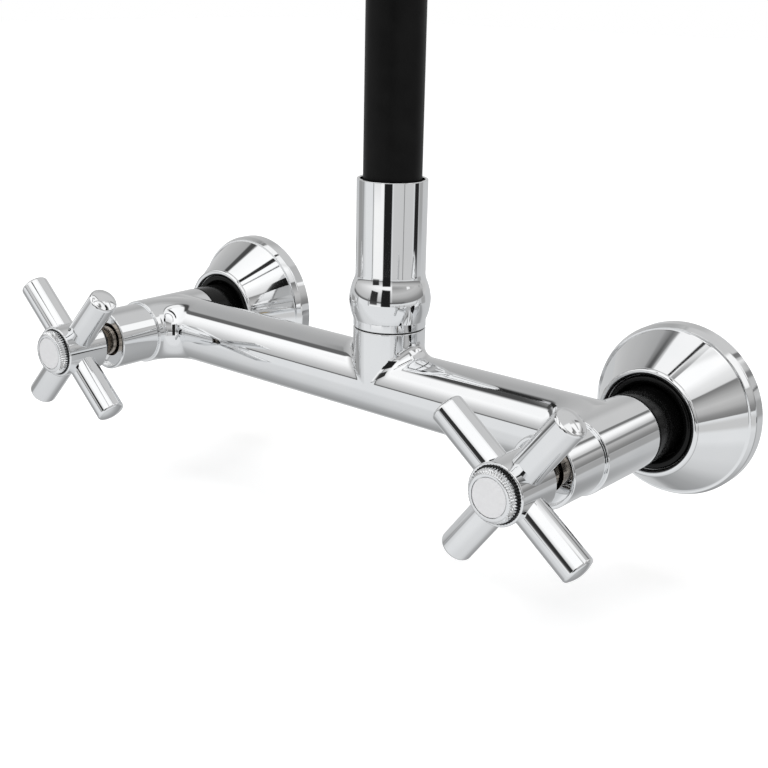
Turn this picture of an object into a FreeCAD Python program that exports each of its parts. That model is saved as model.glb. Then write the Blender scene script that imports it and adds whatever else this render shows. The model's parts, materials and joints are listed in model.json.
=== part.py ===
import FreeCAD, Part
import math
import os
from FreeCAD import Vector

# Two-handle wall mixer with a flexible spout, in millimetres.
# X runs along the body, Y points into the wall and Z points up. The origin lies on the
# wall face, midway between the two water inlets, at the height of the body's axis.

# Body casting
INLET_SPACING = 200.0       # centre distance of the two inlets
BODY_STANDOFF = 47.0        # body axis in front of the wall
TUBE_RADIUS = 12.1          # body tube and both cross tubes
TUBE_REAR = 12.3            # cross tube end behind the body axis
TUBE_FRONT = 18.4           # cross tube end in front of the body axis
FRONT_FILLET = 5.0          # cast corner towards the handles
CHAMBER_RADIUS = 8.5        # mixing chamber in the body tube
CHAMBER_HALF = 76.0         # half length of the mixing chamber
PORT_RADIUS = 4.2           # passage from each valve to the chamber
PORT_FORWARD = 3.5          # passage axis in front of the body axis
CORNER_UNDERSIZE = 0.02     # cast corner radius under the tube radius

# Outlet column of the casting
COLUMN_OFFSET = 12.0        # column axis towards the cold side
NECK_RADIUS = 12.45
NECK_TOP = 20.2
NECK_FILLET = 5.0
NECK_BORE = 9.0
NECK_BORE_FLOOR = 3.0

# Valve seat and headpart
SEAT_BEHIND = 1.5           # valve seat behind the body axis
SEAT_WALL = 2.0             # wall between the seat and the inlet socket
SEAT_HOLE = 4.5
CAVITY_RADIUS = 9.2         # round the ceramic cartridge
CAVITY_LENGTH = 9.9
CARTRIDGE_SHOULDER = 1.0    # cartridge's overlap with the threaded part
HALF_INCH = 10.4775         # radius over the G1/2 thread
THREE_EIGHTHS = 8.331       # radius over the G3/8 thread
THREAD_PLAY = 0.05
RUNNING_PLAY = 0.06
SEAL_PLAY = 0.02
CARTRIDGE_RADIUS = 8.9
CARTRIDGE_BORE = 7.1
DISC_RADIUS = 7.0
DISC_THICKNESS = 2.8
DISC_SLOT_ANGLE = 70.0
DISC_SLOT_INNER = 1.1
SEAL_HEIGHT = 2.0
FOOT_RADIUS = 6.9
FOOT_THICKNESS = 2.6
WINDOW_HEIGHT = 4.4
HEX_ACROSS_FLATS = 17.0
HEX_HEIGHT = 6.0
BONNET_THREAD = 4.8         # headpart thread that carries the collar
GLAND_RADIUS = 5.6
GLAND_OVERLAP = 2.0         # gland's reach into the handle hub
SPINDLE_RADIUS = 4.0
SPINDLE_GROOVE = 1.0        # depth of the spindle's ring grooves
RING_SECTION = 1.1          # width of the ring seals on spindle and gland
RING_PROUD = 0.15           # gland ring's reach past the gland
GLAND_RING_PLACE = 3.4      # gland ring in front of the collar
SPINDLE_RING_PLACE = 9.0    # first spindle ring in front of the foot
SPINDLE_RING_STEP = 4.0
CLIP_OFFSET = 0.1           # clip groove in front of the gland
CLIP_GROOVE = 0.7
CLIP_INSET = 0.3            # clip's edge inside the gland's edge
CLIP_GAP = 2.5

# Bonnet collar
COLLAR_RADIUS = 11.25
COLLAR_LENGTH = 16.9
COLLAR_EDGE = 0.5
COLLAR_LIP = 1.3            # thickness of the collar's front lip
COLLAR_DISH = 1.6           # depth of the dished front
COLLAR_WEB = 1.6
COLLAR_HOLE = 6.3

# Handle
HANDLE_GAP = 6.2            # from the collar to the hub
HUB_RADIUS = 9.4
HUB_LENGTH = 16.8
HUB_EDGE = 0.5
HUB_REAR_RECESS = 3.0
SPLINE_DEPTH = 6.0          # spindle's reach into the hub's socket
SPLINE_END_PLAY = 0.3
CAP_RECESS_RADIUS = 8.57
CAP_RECESS_DEPTH = 5.0
ARM_RADIUS = 5.15
ARM_REACH = 31.0            # from the spindle axis to the end of an arm
ARM_BEHIND = 7.75           # arm axis behind the hub's front rim
ARM_EDGE = 1.0
ARM_COUNT = 4
ARM_FIRST = 45.0            # angle of the first arm, before the handle's own turn
ARM_SPIGOT = 2.4
ARM_SPIGOT_DEPTH = 3.6
HOT_HANDLE_TURN = 2.0       # handle angles of the modelled rest position
COLD_HANDLE_TURN = 7.6

# Index cap, disc and screw
CAP_RADIUS = 7.35
CAP_PROUD = 2.9
CAP_FLANGE = 3.0
CAP_EDGE = 0.35
KNURL_DEPTH = 0.3
KNURL_COUNT = 48
DISC_RING = 6.35            # recess for the index disc
DISC_PLAY = 0.2
DISC_SINK = 0.8
CAP_HOLLOW_PLAY = 0.5       # room round the screw's head in the cap
SCREW_HEAD_RADIUS = 3.8
SCREW_HEAD_HEIGHT = 2.4
SCREW_SLOT = 0.9
SCREW_SLOT_LENGTH = 4.4
SCREW_SLOT_DEPTH = 1.2
SCREW_RADIUS = 2.0
SCREW_CLEARANCE = 0.3       # screw in the hub's web
SCREW_REACH = 11.0          # screw's reach into the spindle
SCREW_HOLE_SPARE = 1.0

# Inlet nipple, rubber ring and wall flange
NIPPLE_BARREL = 9.6
NIPPLE_BORE = 6.0
NIPPLE_SHOULDER = 10.6
NIPPLE_SHOULDER_THICKNESS = 2.2
WALL_THREAD_LENGTH = 15.0   # thread that enters the wall
INLET_WASHER = 0.8
INLET_SOCKET_PLAY = 0.6
FLANGE_DEPTH = 23.2         # from the wall to the flange's mouth
FLANGE_MOUTH = 17.9
FLANGE_LIP_HEIGHT = 1.4
FLANGE_CONE_BASE = 26.9
FLANGE_RIM_FRONT = 28.5
FLANGE_RIM = 29.1
FLANGE_RIM_HEIGHT = 5.8
FLANGE_STEP = 1.5           # height of the step from the cone to the rim
FLANGE_EDGE = 1.0           # height of the rim's rounded edge
FLANGE_GROOVE = 0.25        # groove's floor above the rim's front
FLANGE_GROOVE_OUT = 0.35    # groove's floor outside the cone
FLANGE_WALL = 1.1
RING_OUTER_PLAY = 0.3
RING_LIP = 2.4              # width of the ring's rounded front
RING_FLOOR = 4.5            # depth of the ring's groove
RING_BACK = 2.5             # rubber behind the groove
RING_SLEEVE = 12.0

# Spout base: bulb and sleeve
TRIM_HEIGHT = 2.8           # turning trim ring under the bulb
BEARING_THICKNESS = 0.5
BEARING_INSET = 0.4         # bearing washer's edge inside the neck's edge
BULB_LOWER = 6.9            # from the bulb's bottom to its widest
BULB_UPPER = 7.8            # from its widest to the sleeve
BULB_RADIUS = 14.0
BULB_FOOT = 0.15            # bulb's lower edge outside the trim ring
SLEEVE_RADIUS = 11.93
SLEEVE_WALL = 1.0
SLEEVE_LENGTH = 32.8
SLEEVE_EDGE = 0.3
SLEEVE_FLOOR_UP = 5.8       # inner floor above the bulb's top
STEM_RADIUS = 8.0
STEM_BORE = 5.5
STEM_FLOOR_PLAY = 1.5
STEM_TOP_PLAY = 3.0
STEM_RING_DEPTH = 1.6
STEM_RING_WIDTH = 2.4
STEM_RING_FIRST = 2.1       # lower ring groove above the stem's end
STEM_RING_STEP = 4.6
CATCH_DOWN = 3.6            # axis of the catch screw under the neck's face
CATCH_WIDTH = 4.4           # groove that the catch screw enters
CATCH_DEPTH = 1.4
CATCH_SCREW = 2.0
CATCH_SOCKET = 1.4
CATCH_PLAY = 0.15
CATCH_SUNK = 0.6            # screw's end inside the neck's side

# Flexible spout
HOSE_RADIUS = 9.9
HOSE_WALL = 2.3
CORE_WALL = 1.9
WATER_WALL = 1.2
LAYER_PLAY = 0.05
CONNECTOR_FLANGE = 2.0      # under the hose's lower end
CONNECTOR_WALL = 0.8
CONNECTOR_SPIGOT = 10.0
RISER_LENGTH = 127.0        # from the sleeve to the first bending point
BEND_TO_ARCH = 14.0
ARCH_RADIUS = 85.0
TAIL_BEND_DROP = 20.0       # second bending point under the arch's end
TAIL_LENGTH = 22.0          # hose below the second bending point
KNUCKLE_RADIUS = 9.3
KNUCKLE_PLAY = 0.35
BEND_LIMIT = 25.0
BEND_CLEARANCE = 0.4

# Nozzle
NOZZLE_RADIUS = 12.0
NOZZLE_LENGTH = 34.0
NOZZLE_SOCKET = 12.0        # hose's reach into the nozzle
NOZZLE_WEB = 3.0
NOZZLE_EDGE = 1.0
AERATOR_RADIUS = 10.4
AERATOR_HEIGHT = 12.0
AERATOR_RIM = 2.0
AERATOR_BORE = 8.4
AERATOR_LIP = 1.2
AERATOR_LIP_HEIGHT = 1.0
AERATOR_FLAT = 0.7          # depth of the two spanner flats
JET_COUNT = 12
JET_CIRCLE = 5.4
JET_RADIUS = 0.9
CENTRE_JET = 1.6
WASHER_HEIGHT = 1.6
WASHER_PLAY = 0.1
WASHER_WATERWAY = 0.6

# Derived places, measured from the wall towards the handles
BODY_Y = -BODY_STANDOFF
CAST_REAR = BODY_STANDOFF - TUBE_REAR
CAST_FRONT = BODY_STANDOFF + TUBE_FRONT
SEAT_FACE = BODY_STANDOFF - SEAT_BEHIND
SOCKET_FLOOR = SEAT_FACE - SEAT_WALL
CAVITY_END = SEAT_FACE + CAVITY_LENGTH
COLLAR_FRONT = CAST_FRONT + COLLAR_LENGTH
COLLAR_FACE = COLLAR_FRONT - COLLAR_DISH
HUB_REAR = COLLAR_FRONT + HANDLE_GAP
HUB_FRONT = HUB_REAR + HUB_LENGTH
CAP_FLOOR = HUB_FRONT - CAP_RECESS_DEPTH
CAP_FRONT = HUB_FRONT + CAP_PROUD
ARM_PLACE = HUB_FRONT - ARM_BEHIND
GLAND_END = HUB_REAR + GLAND_OVERLAP
SOCKET_START = HUB_REAR + HUB_REAR_RECESS
SPINDLE_END = SOCKET_START + SPLINE_DEPTH
GLAND_RING = COLLAR_FRONT + GLAND_RING_PLACE
CLIP_START = GLAND_END + CLIP_OFFSET
LOWER_DISC = SEAT_FACE + SEAL_HEIGHT
UPPER_DISC = LOWER_DISC + DISC_THICKNESS
FOOT_START = UPPER_DISC + DISC_THICKNESS
FOOT_END = FOOT_START + FOOT_THICKNESS
SPINDLE_RINGS = (FOOT_END + SPINDLE_RING_PLACE, FOOT_END + SPINDLE_RING_PLACE + SPINDLE_RING_STEP)
HEX_START = CAST_FRONT + BONNET_THREAD
HEX_END = HEX_START + HEX_HEIGHT
INLET_X = INLET_SPACING / 2
SHOULDER_FRONT = CAST_REAR - INLET_WASHER
SHOULDER_BACK = SHOULDER_FRONT - NIPPLE_SHOULDER_THICKNESS
FLANGE_STEP_TOP = FLANGE_RIM_HEIGHT + FLANGE_STEP
CONE_TOP = FLANGE_DEPTH - FLANGE_LIP_HEIGHT
CONE_SLOPE = (FLANGE_CONE_BASE - FLANGE_MOUTH) / (CONE_TOP - FLANGE_STEP_TOP)
INNER_MOUTH = FLANGE_MOUTH - FLANGE_WALL
INNER_CONE_TOP = CONE_TOP - FLANGE_WALL * (math.hypot(1, CONE_SLOPE) - 1) / CONE_SLOPE

# Derived places on the outlet column
TRIM_BOTTOM = NECK_TOP + BEARING_THICKNESS
BULB_BOTTOM = TRIM_BOTTOM + TRIM_HEIGHT
BULB_WIDEST = BULB_BOTTOM + BULB_LOWER
BULB_TOP = BULB_WIDEST + BULB_UPPER
SLEEVE_TOP = BULB_TOP + SLEEVE_LENGTH
SLEEVE_FLOOR = BULB_TOP + SLEEVE_FLOOR_UP
SLEEVE_BORE = SLEEVE_RADIUS - SLEEVE_WALL
STEM_BOTTOM = NECK_BORE_FLOOR + STEM_FLOOR_PLAY
STEM_TOP = SLEEVE_FLOOR - STEM_TOP_PLAY
STEM_RING_LOW = STEM_BOTTOM + STEM_RING_FIRST + STEM_RING_WIDTH / 2
STEM_RINGS = (STEM_RING_LOW, STEM_RING_LOW + STEM_RING_STEP)
CATCH_HEIGHT = NECK_TOP - CATCH_DOWN
HOSE_START = SLEEVE_FLOOR + CONNECTOR_FLANGE
BEND_HEIGHT = SLEEVE_TOP + RISER_LENGTH
ARCH_HEIGHT = BEND_HEIGHT + BEND_TO_ARCH
ARCH_Y = BODY_Y - 2 * ARCH_RADIUS
TAIL_BEND = ARCH_HEIGHT - TAIL_BEND_DROP
TAIL_END = TAIL_BEND - TAIL_LENGTH
NOZZLE_TOP = TAIL_END + NOZZLE_SOCKET
NOZZLE_BOTTOM = NOZZLE_TOP - NOZZLE_LENGTH
AERATOR_BOTTOM = NOZZLE_BOTTOM - AERATOR_RIM
AERATOR_TOP = NOZZLE_BOTTOM + AERATOR_HEIGHT
WASHER_TOP = TAIL_END - NOZZLE_WEB
HOSE_BORE = HOSE_RADIUS - HOSE_WALL
CORE_RADIUS = HOSE_BORE - LAYER_PLAY
CORE_BORE = CORE_RADIUS - CORE_WALL
WATER_RADIUS = CORE_BORE - LAYER_PLAY
WATER_BORE = WATER_RADIUS - WATER_WALL
BEND_SETBACK = HOSE_RADIUS * math.tan(math.radians(BEND_LIMIT)) + BEND_CLEARANCE
CUP_RADIUS = KNUCKLE_RADIUS + KNUCKLE_PLAY
LAYER_SETBACK = CUP_RADIUS + BEND_CLEARANCE
TINY = 1e-4
SIDES = {"hot": -1, "cold": 1}
HANDLE_TURNS = {"hot": HOT_HANDLE_TURN, "cold": COLD_HANDLE_TURN}


def lathe(outline):
    """Turned solid about Z from (radius, height) points; an item of three points is an arc."""
    runs = [[Vector(r, 0, h) for r, h in item] if isinstance(item[0], tuple)
            else [Vector(item[0], 0, item[1])] for item in outline]
    edges = []
    for run, before in zip(runs, runs[-1:] + runs[:-1]):
        if (run[0] - before[-1]).Length > TINY:
            edges.append(Part.makeLine(before[-1], run[0]))
        if len(run) == 3:
            edges.append(Part.Arc(*run).toShape())
    face = Part.Face(Part.Wire(edges))
    return face.revolve(Vector(0, 0, 0), Vector(0, 0, 1), 360)


def tube(outer, inner, start, end):
    """Straight ring about Z from start to end."""
    shape = Part.makeCylinder(outer, end - start, Vector(0, 0, start))
    if inner:
        shape = shape.cut(Part.makeCylinder(inner, end - start, Vector(0, 0, start)))
    return shape


def rod(radius, start, end):
    return Part.makeCylinder(radius, end - start, Vector(0, 0, start))


def round_edges(shape, low, high):
    """Whole circles of a turned shape that lie level, between two heights."""
    return [e for e in shape.Edges if e.Closed and e.BoundBox.ZLength < TINY
            and low - TINY < e.CenterOfMass.z < high + TINY]


def ring_seal(inner, outer, middle, width):
    """Rubber ring with rounded corners, lying in a groove of the given width."""
    half = width / 2 - SEAL_PLAY
    shape = tube(outer, inner + SEAL_PLAY, middle - half, middle + half)
    corner = min(outer - inner, width) / 4
    return shape.makeFillet(corner, round_edges(shape, middle - half, middle + half))


def hexagon(across_flats, start, end):
    corner = across_flats / 2 / math.cos(math.pi / 6)
    points = [Vector(corner * math.cos(a), corner * math.sin(a), start)
              for a in [math.pi / 3 * k for k in range(7)]]
    return Part.Face(Part.makePolygon(points)).extrude(Vector(0, 0, end - start))


def to_valve(shape, side):
    """Stand a shape made about Z, zero at the wall, on the inlet axis of one side."""
    placed = shape.copy()
    placed.rotate(Vector(0, 0, 0), Vector(1, 0, 0), 90)
    placed.translate(Vector(SIDES[side] * INLET_X, 0, 0))
    return placed


def to_column(shape):
    """Move a shape made about Z on to the outlet column's axis."""
    placed = shape.copy()
    placed.translate(Vector(COLUMN_OFFSET, BODY_Y, 0))
    return placed


def to_nozzle(shape):
    placed = shape.copy()
    placed.translate(Vector(COLUMN_OFFSET, ARCH_Y, 0))
    return placed


def turned_about(shape, degrees):
    placed = shape.copy()
    placed.rotate(Vector(0, 0, 0), Vector(0, 0, 1), degrees)
    return placed


def cast_corner(sign):
    """Quarter bend that rounds the corner between the body tube and a valve's tube."""
    bend = TUBE_RADIUS + FRONT_FILLET
    start = Vector(sign * (INLET_X - bend), BODY_Y, 0)
    centre = start + Vector(0, -bend, 0)
    circle = Part.makeCircle(TUBE_RADIUS - CORNER_UNDERSIZE, start, Vector(1, 0, 0))
    return Part.Face(Part.Wire(circle)).revolve(centre, Vector(0, 0, 1), -90 * sign)


def body_casting():
    """Body tube, two cross tubes and the outlet neck, bored for the water."""
    body = Part.makeCylinder(TUBE_RADIUS, INLET_SPACING, Vector(-INLET_X, BODY_Y, 0), Vector(1, 0, 0))
    neck = to_column(rod(NECK_RADIUS, 0, NECK_TOP))
    body = body.fuse(neck).removeSplitter()
    joint = [e for e in body.Edges if e.Curve.TypeId not in ("Part::GeomCircle", "Part::GeomLine")]
    body = body.makeFillet(NECK_FILLET, joint)
    for side in SIDES:
        body = body.fuse(to_valve(rod(TUBE_RADIUS, CAST_REAR, CAST_FRONT), side))
        body = body.fuse(cast_corner(SIDES[side]))
    chamber_start = Vector(-CHAMBER_HALF, BODY_Y, 0)
    body = body.cut(Part.makeCylinder(CHAMBER_RADIUS, 2 * CHAMBER_HALF, chamber_start, Vector(1, 0, 0)))
    body = body.cut(to_column(rod(NECK_BORE, NECK_BORE_FLOOR, NECK_TOP)))
    port_y = BODY_Y - PORT_FORWARD
    body = body.cut(Part.makeCylinder(PORT_RADIUS, INLET_SPACING, Vector(-INLET_X, port_y, 0), Vector(1, 0, 0)))
    for side in SIDES:
        hollow = rod(CAVITY_RADIUS, SEAT_FACE, CAVITY_END)
        hollow = hollow.fuse(rod(HALF_INCH, CAVITY_END, CAST_FRONT))
        hollow = hollow.fuse(rod(SEAT_HOLE, SOCKET_FLOOR, SEAT_FACE))
        hollow = hollow.fuse(rod(THREE_EIGHTHS, CAST_REAR, SOCKET_FLOOR))
        body = body.cut(to_valve(hollow, side))
    catch = Part.makeCylinder(CATCH_SCREW, 2 * NECK_RADIUS, Vector(0, 0, CATCH_HEIGHT), Vector(0, 1, 0))
    return body.cut(to_column(catch))


def inlet_nipple():
    """Brass connector: G3/8 into the casting, shoulder, barrel, G1/2 into the wall."""
    shape = rod(THREE_EIGHTHS - THREAD_PLAY, SHOULDER_FRONT, SOCKET_FLOOR - INLET_SOCKET_PLAY)
    shape = shape.fuse(rod(NIPPLE_SHOULDER, SHOULDER_BACK, SHOULDER_FRONT))
    shape = shape.fuse(rod(NIPPLE_BARREL, 0, SHOULDER_BACK))
    shape = shape.fuse(rod(HALF_INCH, -WALL_THREAD_LENGTH, 0))
    return shape.cut(rod(NIPPLE_BORE, -WALL_THREAD_LENGTH, SOCKET_FLOOR))


def inlet_washer():
    return tube(NIPPLE_SHOULDER, THREE_EIGHTHS + THREAD_PLAY, SHOULDER_FRONT, CAST_REAR)


def flange_inside(height):
    """Radius of the flange's inner cone at a height above the wall."""
    return INNER_MOUTH + CONE_SLOPE * (INNER_CONE_TOP - height)


def flange_ring():
    """Black rubber ring: a sleeve over the nipple and a cup that steadies the flange."""
    half = RING_LIP / 2
    outer = INNER_MOUTH - RING_OUTER_PLAY
    front = FLANGE_DEPTH - FLANGE_WALL / 2
    crown = front - half
    floor = front - RING_FLOOR
    back = floor - RING_BACK
    bore = NIPPLE_BARREL + SEAL_PLAY
    outline = [(bore, back), (flange_inside(back) - RING_OUTER_PLAY, back), (outer, INNER_CONE_TOP)]
    outline.append(((outer, crown), (outer - half, front), (outer - RING_LIP, crown)))
    outline += [(outer - RING_LIP, floor), (RING_SLEEVE, floor), (RING_SLEEVE, CAST_REAR)]
    outline += [(NIPPLE_SHOULDER + SEAL_PLAY, CAST_REAR), (NIPPLE_SHOULDER + SEAL_PLAY, SHOULDER_BACK)]
    outline.append((bore, SHOULDER_BACK))
    return lathe(outline)


def wall_flange():
    """Conical cover with a rounded lip at its mouth and a raised rim at the wall."""
    lip = FLANGE_WALL / 2
    crown = FLANGE_DEPTH - lip
    inner_base = FLANGE_STEP_TOP - FLANGE_WALL
    rim_inside = FLANGE_RIM - FLANGE_WALL
    bulge = (FLANGE_RIM - FLANGE_RIM_FRONT) / 3
    rim_front = (FLANGE_RIM_FRONT, FLANGE_RIM_HEIGHT)
    groove = (FLANGE_CONE_BASE + FLANGE_GROOVE_OUT, FLANGE_RIM_HEIGHT + FLANGE_GROOVE)
    return lathe([
        (FLANGE_RIM, 0),
        ((FLANGE_RIM, FLANGE_RIM_HEIGHT - FLANGE_EDGE),
         (FLANGE_RIM - bulge, FLANGE_RIM_HEIGHT - 0.3 * FLANGE_EDGE), rim_front),
        (rim_front, groove, (FLANGE_CONE_BASE, FLANGE_STEP_TOP)),
        (FLANGE_MOUTH, CONE_TOP),
        ((FLANGE_MOUTH, crown), (FLANGE_MOUTH - lip, FLANGE_DEPTH), (INNER_MOUTH, crown)),
        (INNER_MOUTH, INNER_CONE_TOP),
        (flange_inside(inner_base), inner_base),
        (rim_inside, FLANGE_RIM_HEIGHT - FLANGE_WALL),
        (rim_inside, 0),
    ])


def seat_seal():
    return tube(CARTRIDGE_BORE - SEAL_PLAY, SEAT_HOLE, SEAT_FACE, LOWER_DISC)


def ceramic_disc(start, openings):
    """Ceramic disc with two wedge openings, at the given angles."""
    disc = rod(DISC_RADIUS, start, start + DISC_THICKNESS)
    up = Vector(0, 0, 1)
    for angle in openings:
        slot = Part.makeCylinder(SEAT_HOLE, DISC_THICKNESS, up * start, up, DISC_SLOT_ANGLE)
        slot = slot.cut(rod(DISC_SLOT_INNER, start, start + DISC_THICKNESS))
        disc = disc.cut(turned_about(slot, angle - DISC_SLOT_ANGLE / 2))
    return disc


def headpart_body():
    """Nickel-plated brass body: cartridge with windows, thread, hexagon and gland."""
    shape = rod(CARTRIDGE_RADIUS, SEAT_FACE + SEAL_HEIGHT / 2, CAVITY_END + CARTRIDGE_SHOULDER)
    shape = shape.fuse(rod(HALF_INCH - THREAD_PLAY, CAVITY_END + THREAD_PLAY, HEX_START))
    shape = shape.fuse(hexagon(HEX_ACROSS_FLATS, HEX_START, HEX_END))
    shape = shape.fuse(rod(GLAND_RADIUS, HEX_END, GLAND_END))
    shape = shape.cut(rod(CARTRIDGE_BORE, SEAT_FACE, FOOT_END + RUNNING_PLAY))
    shape = shape.cut(rod(SPINDLE_RADIUS + RUNNING_PLAY, SEAT_FACE, GLAND_END))
    half = RING_SECTION / 2
    shape = shape.cut(tube(GLAND_RADIUS, GLAND_RADIUS - RING_SECTION, GLAND_RING - half, GLAND_RING + half))
    window = Part.makeBox(4 * CARTRIDGE_RADIUS, CARTRIDGE_RADIUS, WINDOW_HEIGHT,
                          Vector(-2 * CARTRIDGE_RADIUS, -CARTRIDGE_RADIUS / 2, UPPER_DISC))
    return shape.cut(window)


def gland_ring():
    return ring_seal(GLAND_RADIUS - RING_SECTION, GLAND_RADIUS + RING_PROUD, GLAND_RING, RING_SECTION)


def spindle():
    """Foot that turns the upper disc, shaft with two ring grooves and a clip groove."""
    shape = rod(FOOT_RADIUS, FOOT_START, FOOT_END).fuse(rod(SPINDLE_RADIUS, FOOT_START, SPINDLE_END))
    half = RING_SECTION / 2
    for place in SPINDLE_RINGS:
        shape = shape.cut(tube(SPINDLE_RADIUS, SPINDLE_RADIUS - SPINDLE_GROOVE, place - half, place + half))
    clip_end = CLIP_START + CLIP_GROOVE
    shape = shape.cut(tube(SPINDLE_RADIUS, SPINDLE_RADIUS - SPINDLE_GROOVE, CLIP_START, clip_end))
    hole_depth = SCREW_REACH + SCREW_HOLE_SPARE
    return shape.cut(rod(SCREW_RADIUS + THREAD_PLAY, SPINDLE_END - hole_depth, SPINDLE_END))


def spindle_rings():
    rings = [ring_seal(SPINDLE_RADIUS - SPINDLE_GROOVE, SPINDLE_RADIUS + RUNNING_PLAY / 2, place, RING_SECTION)
             for place in SPINDLE_RINGS]
    return Part.makeCompound(rings)


def spindle_clip():
    """Open retaining ring that holds the spindle in front of the gland."""
    inner = SPINDLE_RADIUS - SPINDLE_GROOVE + SEAL_PLAY
    clip = tube(GLAND_RADIUS - CLIP_INSET, inner, CLIP_START + SEAL_PLAY, CLIP_START + CLIP_GROOVE - SEAL_PLAY)
    gap = Part.makeBox(GLAND_RADIUS, CLIP_GAP, CLIP_GROOVE, Vector(0, -CLIP_GAP / 2, CLIP_START))
    return clip.cut(gap)


def bonnet_collar():
    """Chrome sleeve over the headpart, with a thin lip round a dished front."""
    shape = rod(COLLAR_RADIUS, CAST_FRONT, COLLAR_FRONT)
    shape = shape.makeFillet(COLLAR_EDGE, round_edges(shape, COLLAR_FRONT, COLLAR_FRONT))
    shape = shape.cut(rod(COLLAR_RADIUS - COLLAR_LIP, COLLAR_FACE, COLLAR_FRONT))
    shape = shape.cut(rod(COLLAR_HOLE, COLLAR_FACE - COLLAR_WEB, COLLAR_FACE))
    return shape.cut(rod(HALF_INCH, CAST_FRONT, COLLAR_FACE - COLLAR_WEB))


def handle_hub():
    """Hub with a spline socket, arm sockets and a recess for the index cap."""
    shape = rod(HUB_RADIUS, HUB_REAR, HUB_FRONT)
    shape = shape.makeFillet(HUB_EDGE, round_edges(shape, HUB_REAR, HUB_FRONT))
    shape = shape.cut(rod(COLLAR_HOLE, HUB_REAR, SOCKET_START))
    shape = shape.cut(rod(SPINDLE_RADIUS + THREAD_PLAY, SOCKET_START, SPINDLE_END + SPLINE_END_PLAY))
    shape = shape.cut(rod(SCREW_RADIUS + SCREW_CLEARANCE, SPINDLE_END, CAP_FLOOR))
    shape = shape.cut(rod(CAP_RECESS_RADIUS, CAP_FLOOR, HUB_FRONT))
    hole_start = HUB_RADIUS - ARM_SPIGOT_DEPTH - THREAD_PLAY
    for hole in arm_rods(ARM_SPIGOT + THREAD_PLAY, hole_start, HUB_RADIUS):
        shape = shape.cut(hole)
    return shape


def arm_rods(radius, start, end):
    """Rods at equal angles in the plane of the arms, between two distances from the axis."""
    rods = []
    for k in range(ARM_COUNT):
        angle = math.radians(ARM_FIRST + 360 / ARM_COUNT * k)
        way = Vector(math.cos(angle), math.sin(angle), 0)
        rods.append(Part.makeCylinder(radius, end - start, way * start + Vector(0, 0, ARM_PLACE), way))
    return rods


def handle_arms():
    """Round arms that seat on the hub, each with a spigot in it and a softly edged end."""
    hub = rod(HUB_RADIUS, HUB_REAR, HUB_FRONT)
    spigots = arm_rods(ARM_SPIGOT, HUB_RADIUS - ARM_SPIGOT_DEPTH, HUB_RADIUS)
    arms = []
    for bar, spigot in zip(arm_rods(ARM_RADIUS, HUB_RADIUS / 2, ARM_REACH), spigots):
        end = [e for e in bar.Edges if e.Closed and math.hypot(e.CenterOfMass.x, e.CenterOfMass.y) > HUB_RADIUS
               and e.BoundBox.ZLength > ARM_RADIUS]
        bar = bar.makeFillet(ARM_EDGE, end).cut(hub)
        arms.append(bar.fuse(spigot).removeSplitter())
    return Part.makeCompound(arms)


def handle_screw():
    """Pan head screw that holds the hub on the spindle."""
    shape = rod(SCREW_HEAD_RADIUS, CAP_FLOOR, CAP_FLOOR + SCREW_HEAD_HEIGHT)
    shape = shape.fuse(rod(SCREW_RADIUS, SPINDLE_END - SCREW_REACH, CAP_FLOOR))
    slot_floor = CAP_FLOOR + SCREW_HEAD_HEIGHT - SCREW_SLOT_DEPTH
    slot_corner = Vector(-SCREW_SLOT_LENGTH / 2, -SCREW_SLOT / 2, slot_floor)
    slot = Part.makeBox(SCREW_SLOT_LENGTH, SCREW_SLOT, SCREW_SLOT_DEPTH, slot_corner)
    return shape.cut([slot, turned_about(slot, 90)])


def index_cap():
    """Screwed cap with a straight knurl, hollow over the screw and recessed for its disc."""
    flange_top = CAP_FLOOR + CAP_FLANGE
    points = []
    for k in range(2 * KNURL_COUNT + 1):
        angle = math.pi * k / KNURL_COUNT
        radius = CAP_RADIUS - (KNURL_DEPTH if k % 2 else 0)
        points.append(Vector(radius * math.cos(angle), radius * math.sin(angle), flange_top))
    knurl = Part.Face(Part.makePolygon(points)).extrude(Vector(0, 0, CAP_FRONT - CAP_EDGE - flange_top))
    face = Part.makeCone(CAP_RADIUS - KNURL_DEPTH, CAP_RADIUS - KNURL_DEPTH - CAP_EDGE, CAP_EDGE,
                         Vector(0, 0, CAP_FRONT - CAP_EDGE))
    shape = knurl.fuse([face, rod(CAP_RECESS_RADIUS - THREAD_PLAY, CAP_FLOOR, flange_top)])
    hollow_top = CAP_FLOOR + SCREW_HEAD_HEIGHT + CAP_HOLLOW_PLAY
    shape = shape.cut(rod(SCREW_HEAD_RADIUS + CAP_HOLLOW_PLAY, CAP_FLOOR, hollow_top))
    return shape.cut(rod(DISC_RING, CAP_FRONT - DISC_SINK, CAP_FRONT))


def index_disc():
    """Plain satin disc in the cap's face, with a softened edge."""
    shape = rod(DISC_RING - DISC_PLAY, CAP_FRONT - DISC_SINK, CAP_FRONT)
    return shape.makeFillet(DISC_PLAY, round_edges(shape, CAP_FRONT, CAP_FRONT))


def bearing_washer():
    return tube(NECK_RADIUS - BEARING_INSET, STEM_RADIUS + THREAD_PLAY, NECK_TOP, TRIM_BOTTOM)


def trim_ring():
    """Thin chrome ring between the neck and the bulb; it turns with the spout."""
    return tube(NECK_RADIUS, STEM_RADIUS + THREAD_PLAY, TRIM_BOTTOM, BULB_BOTTOM)


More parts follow.
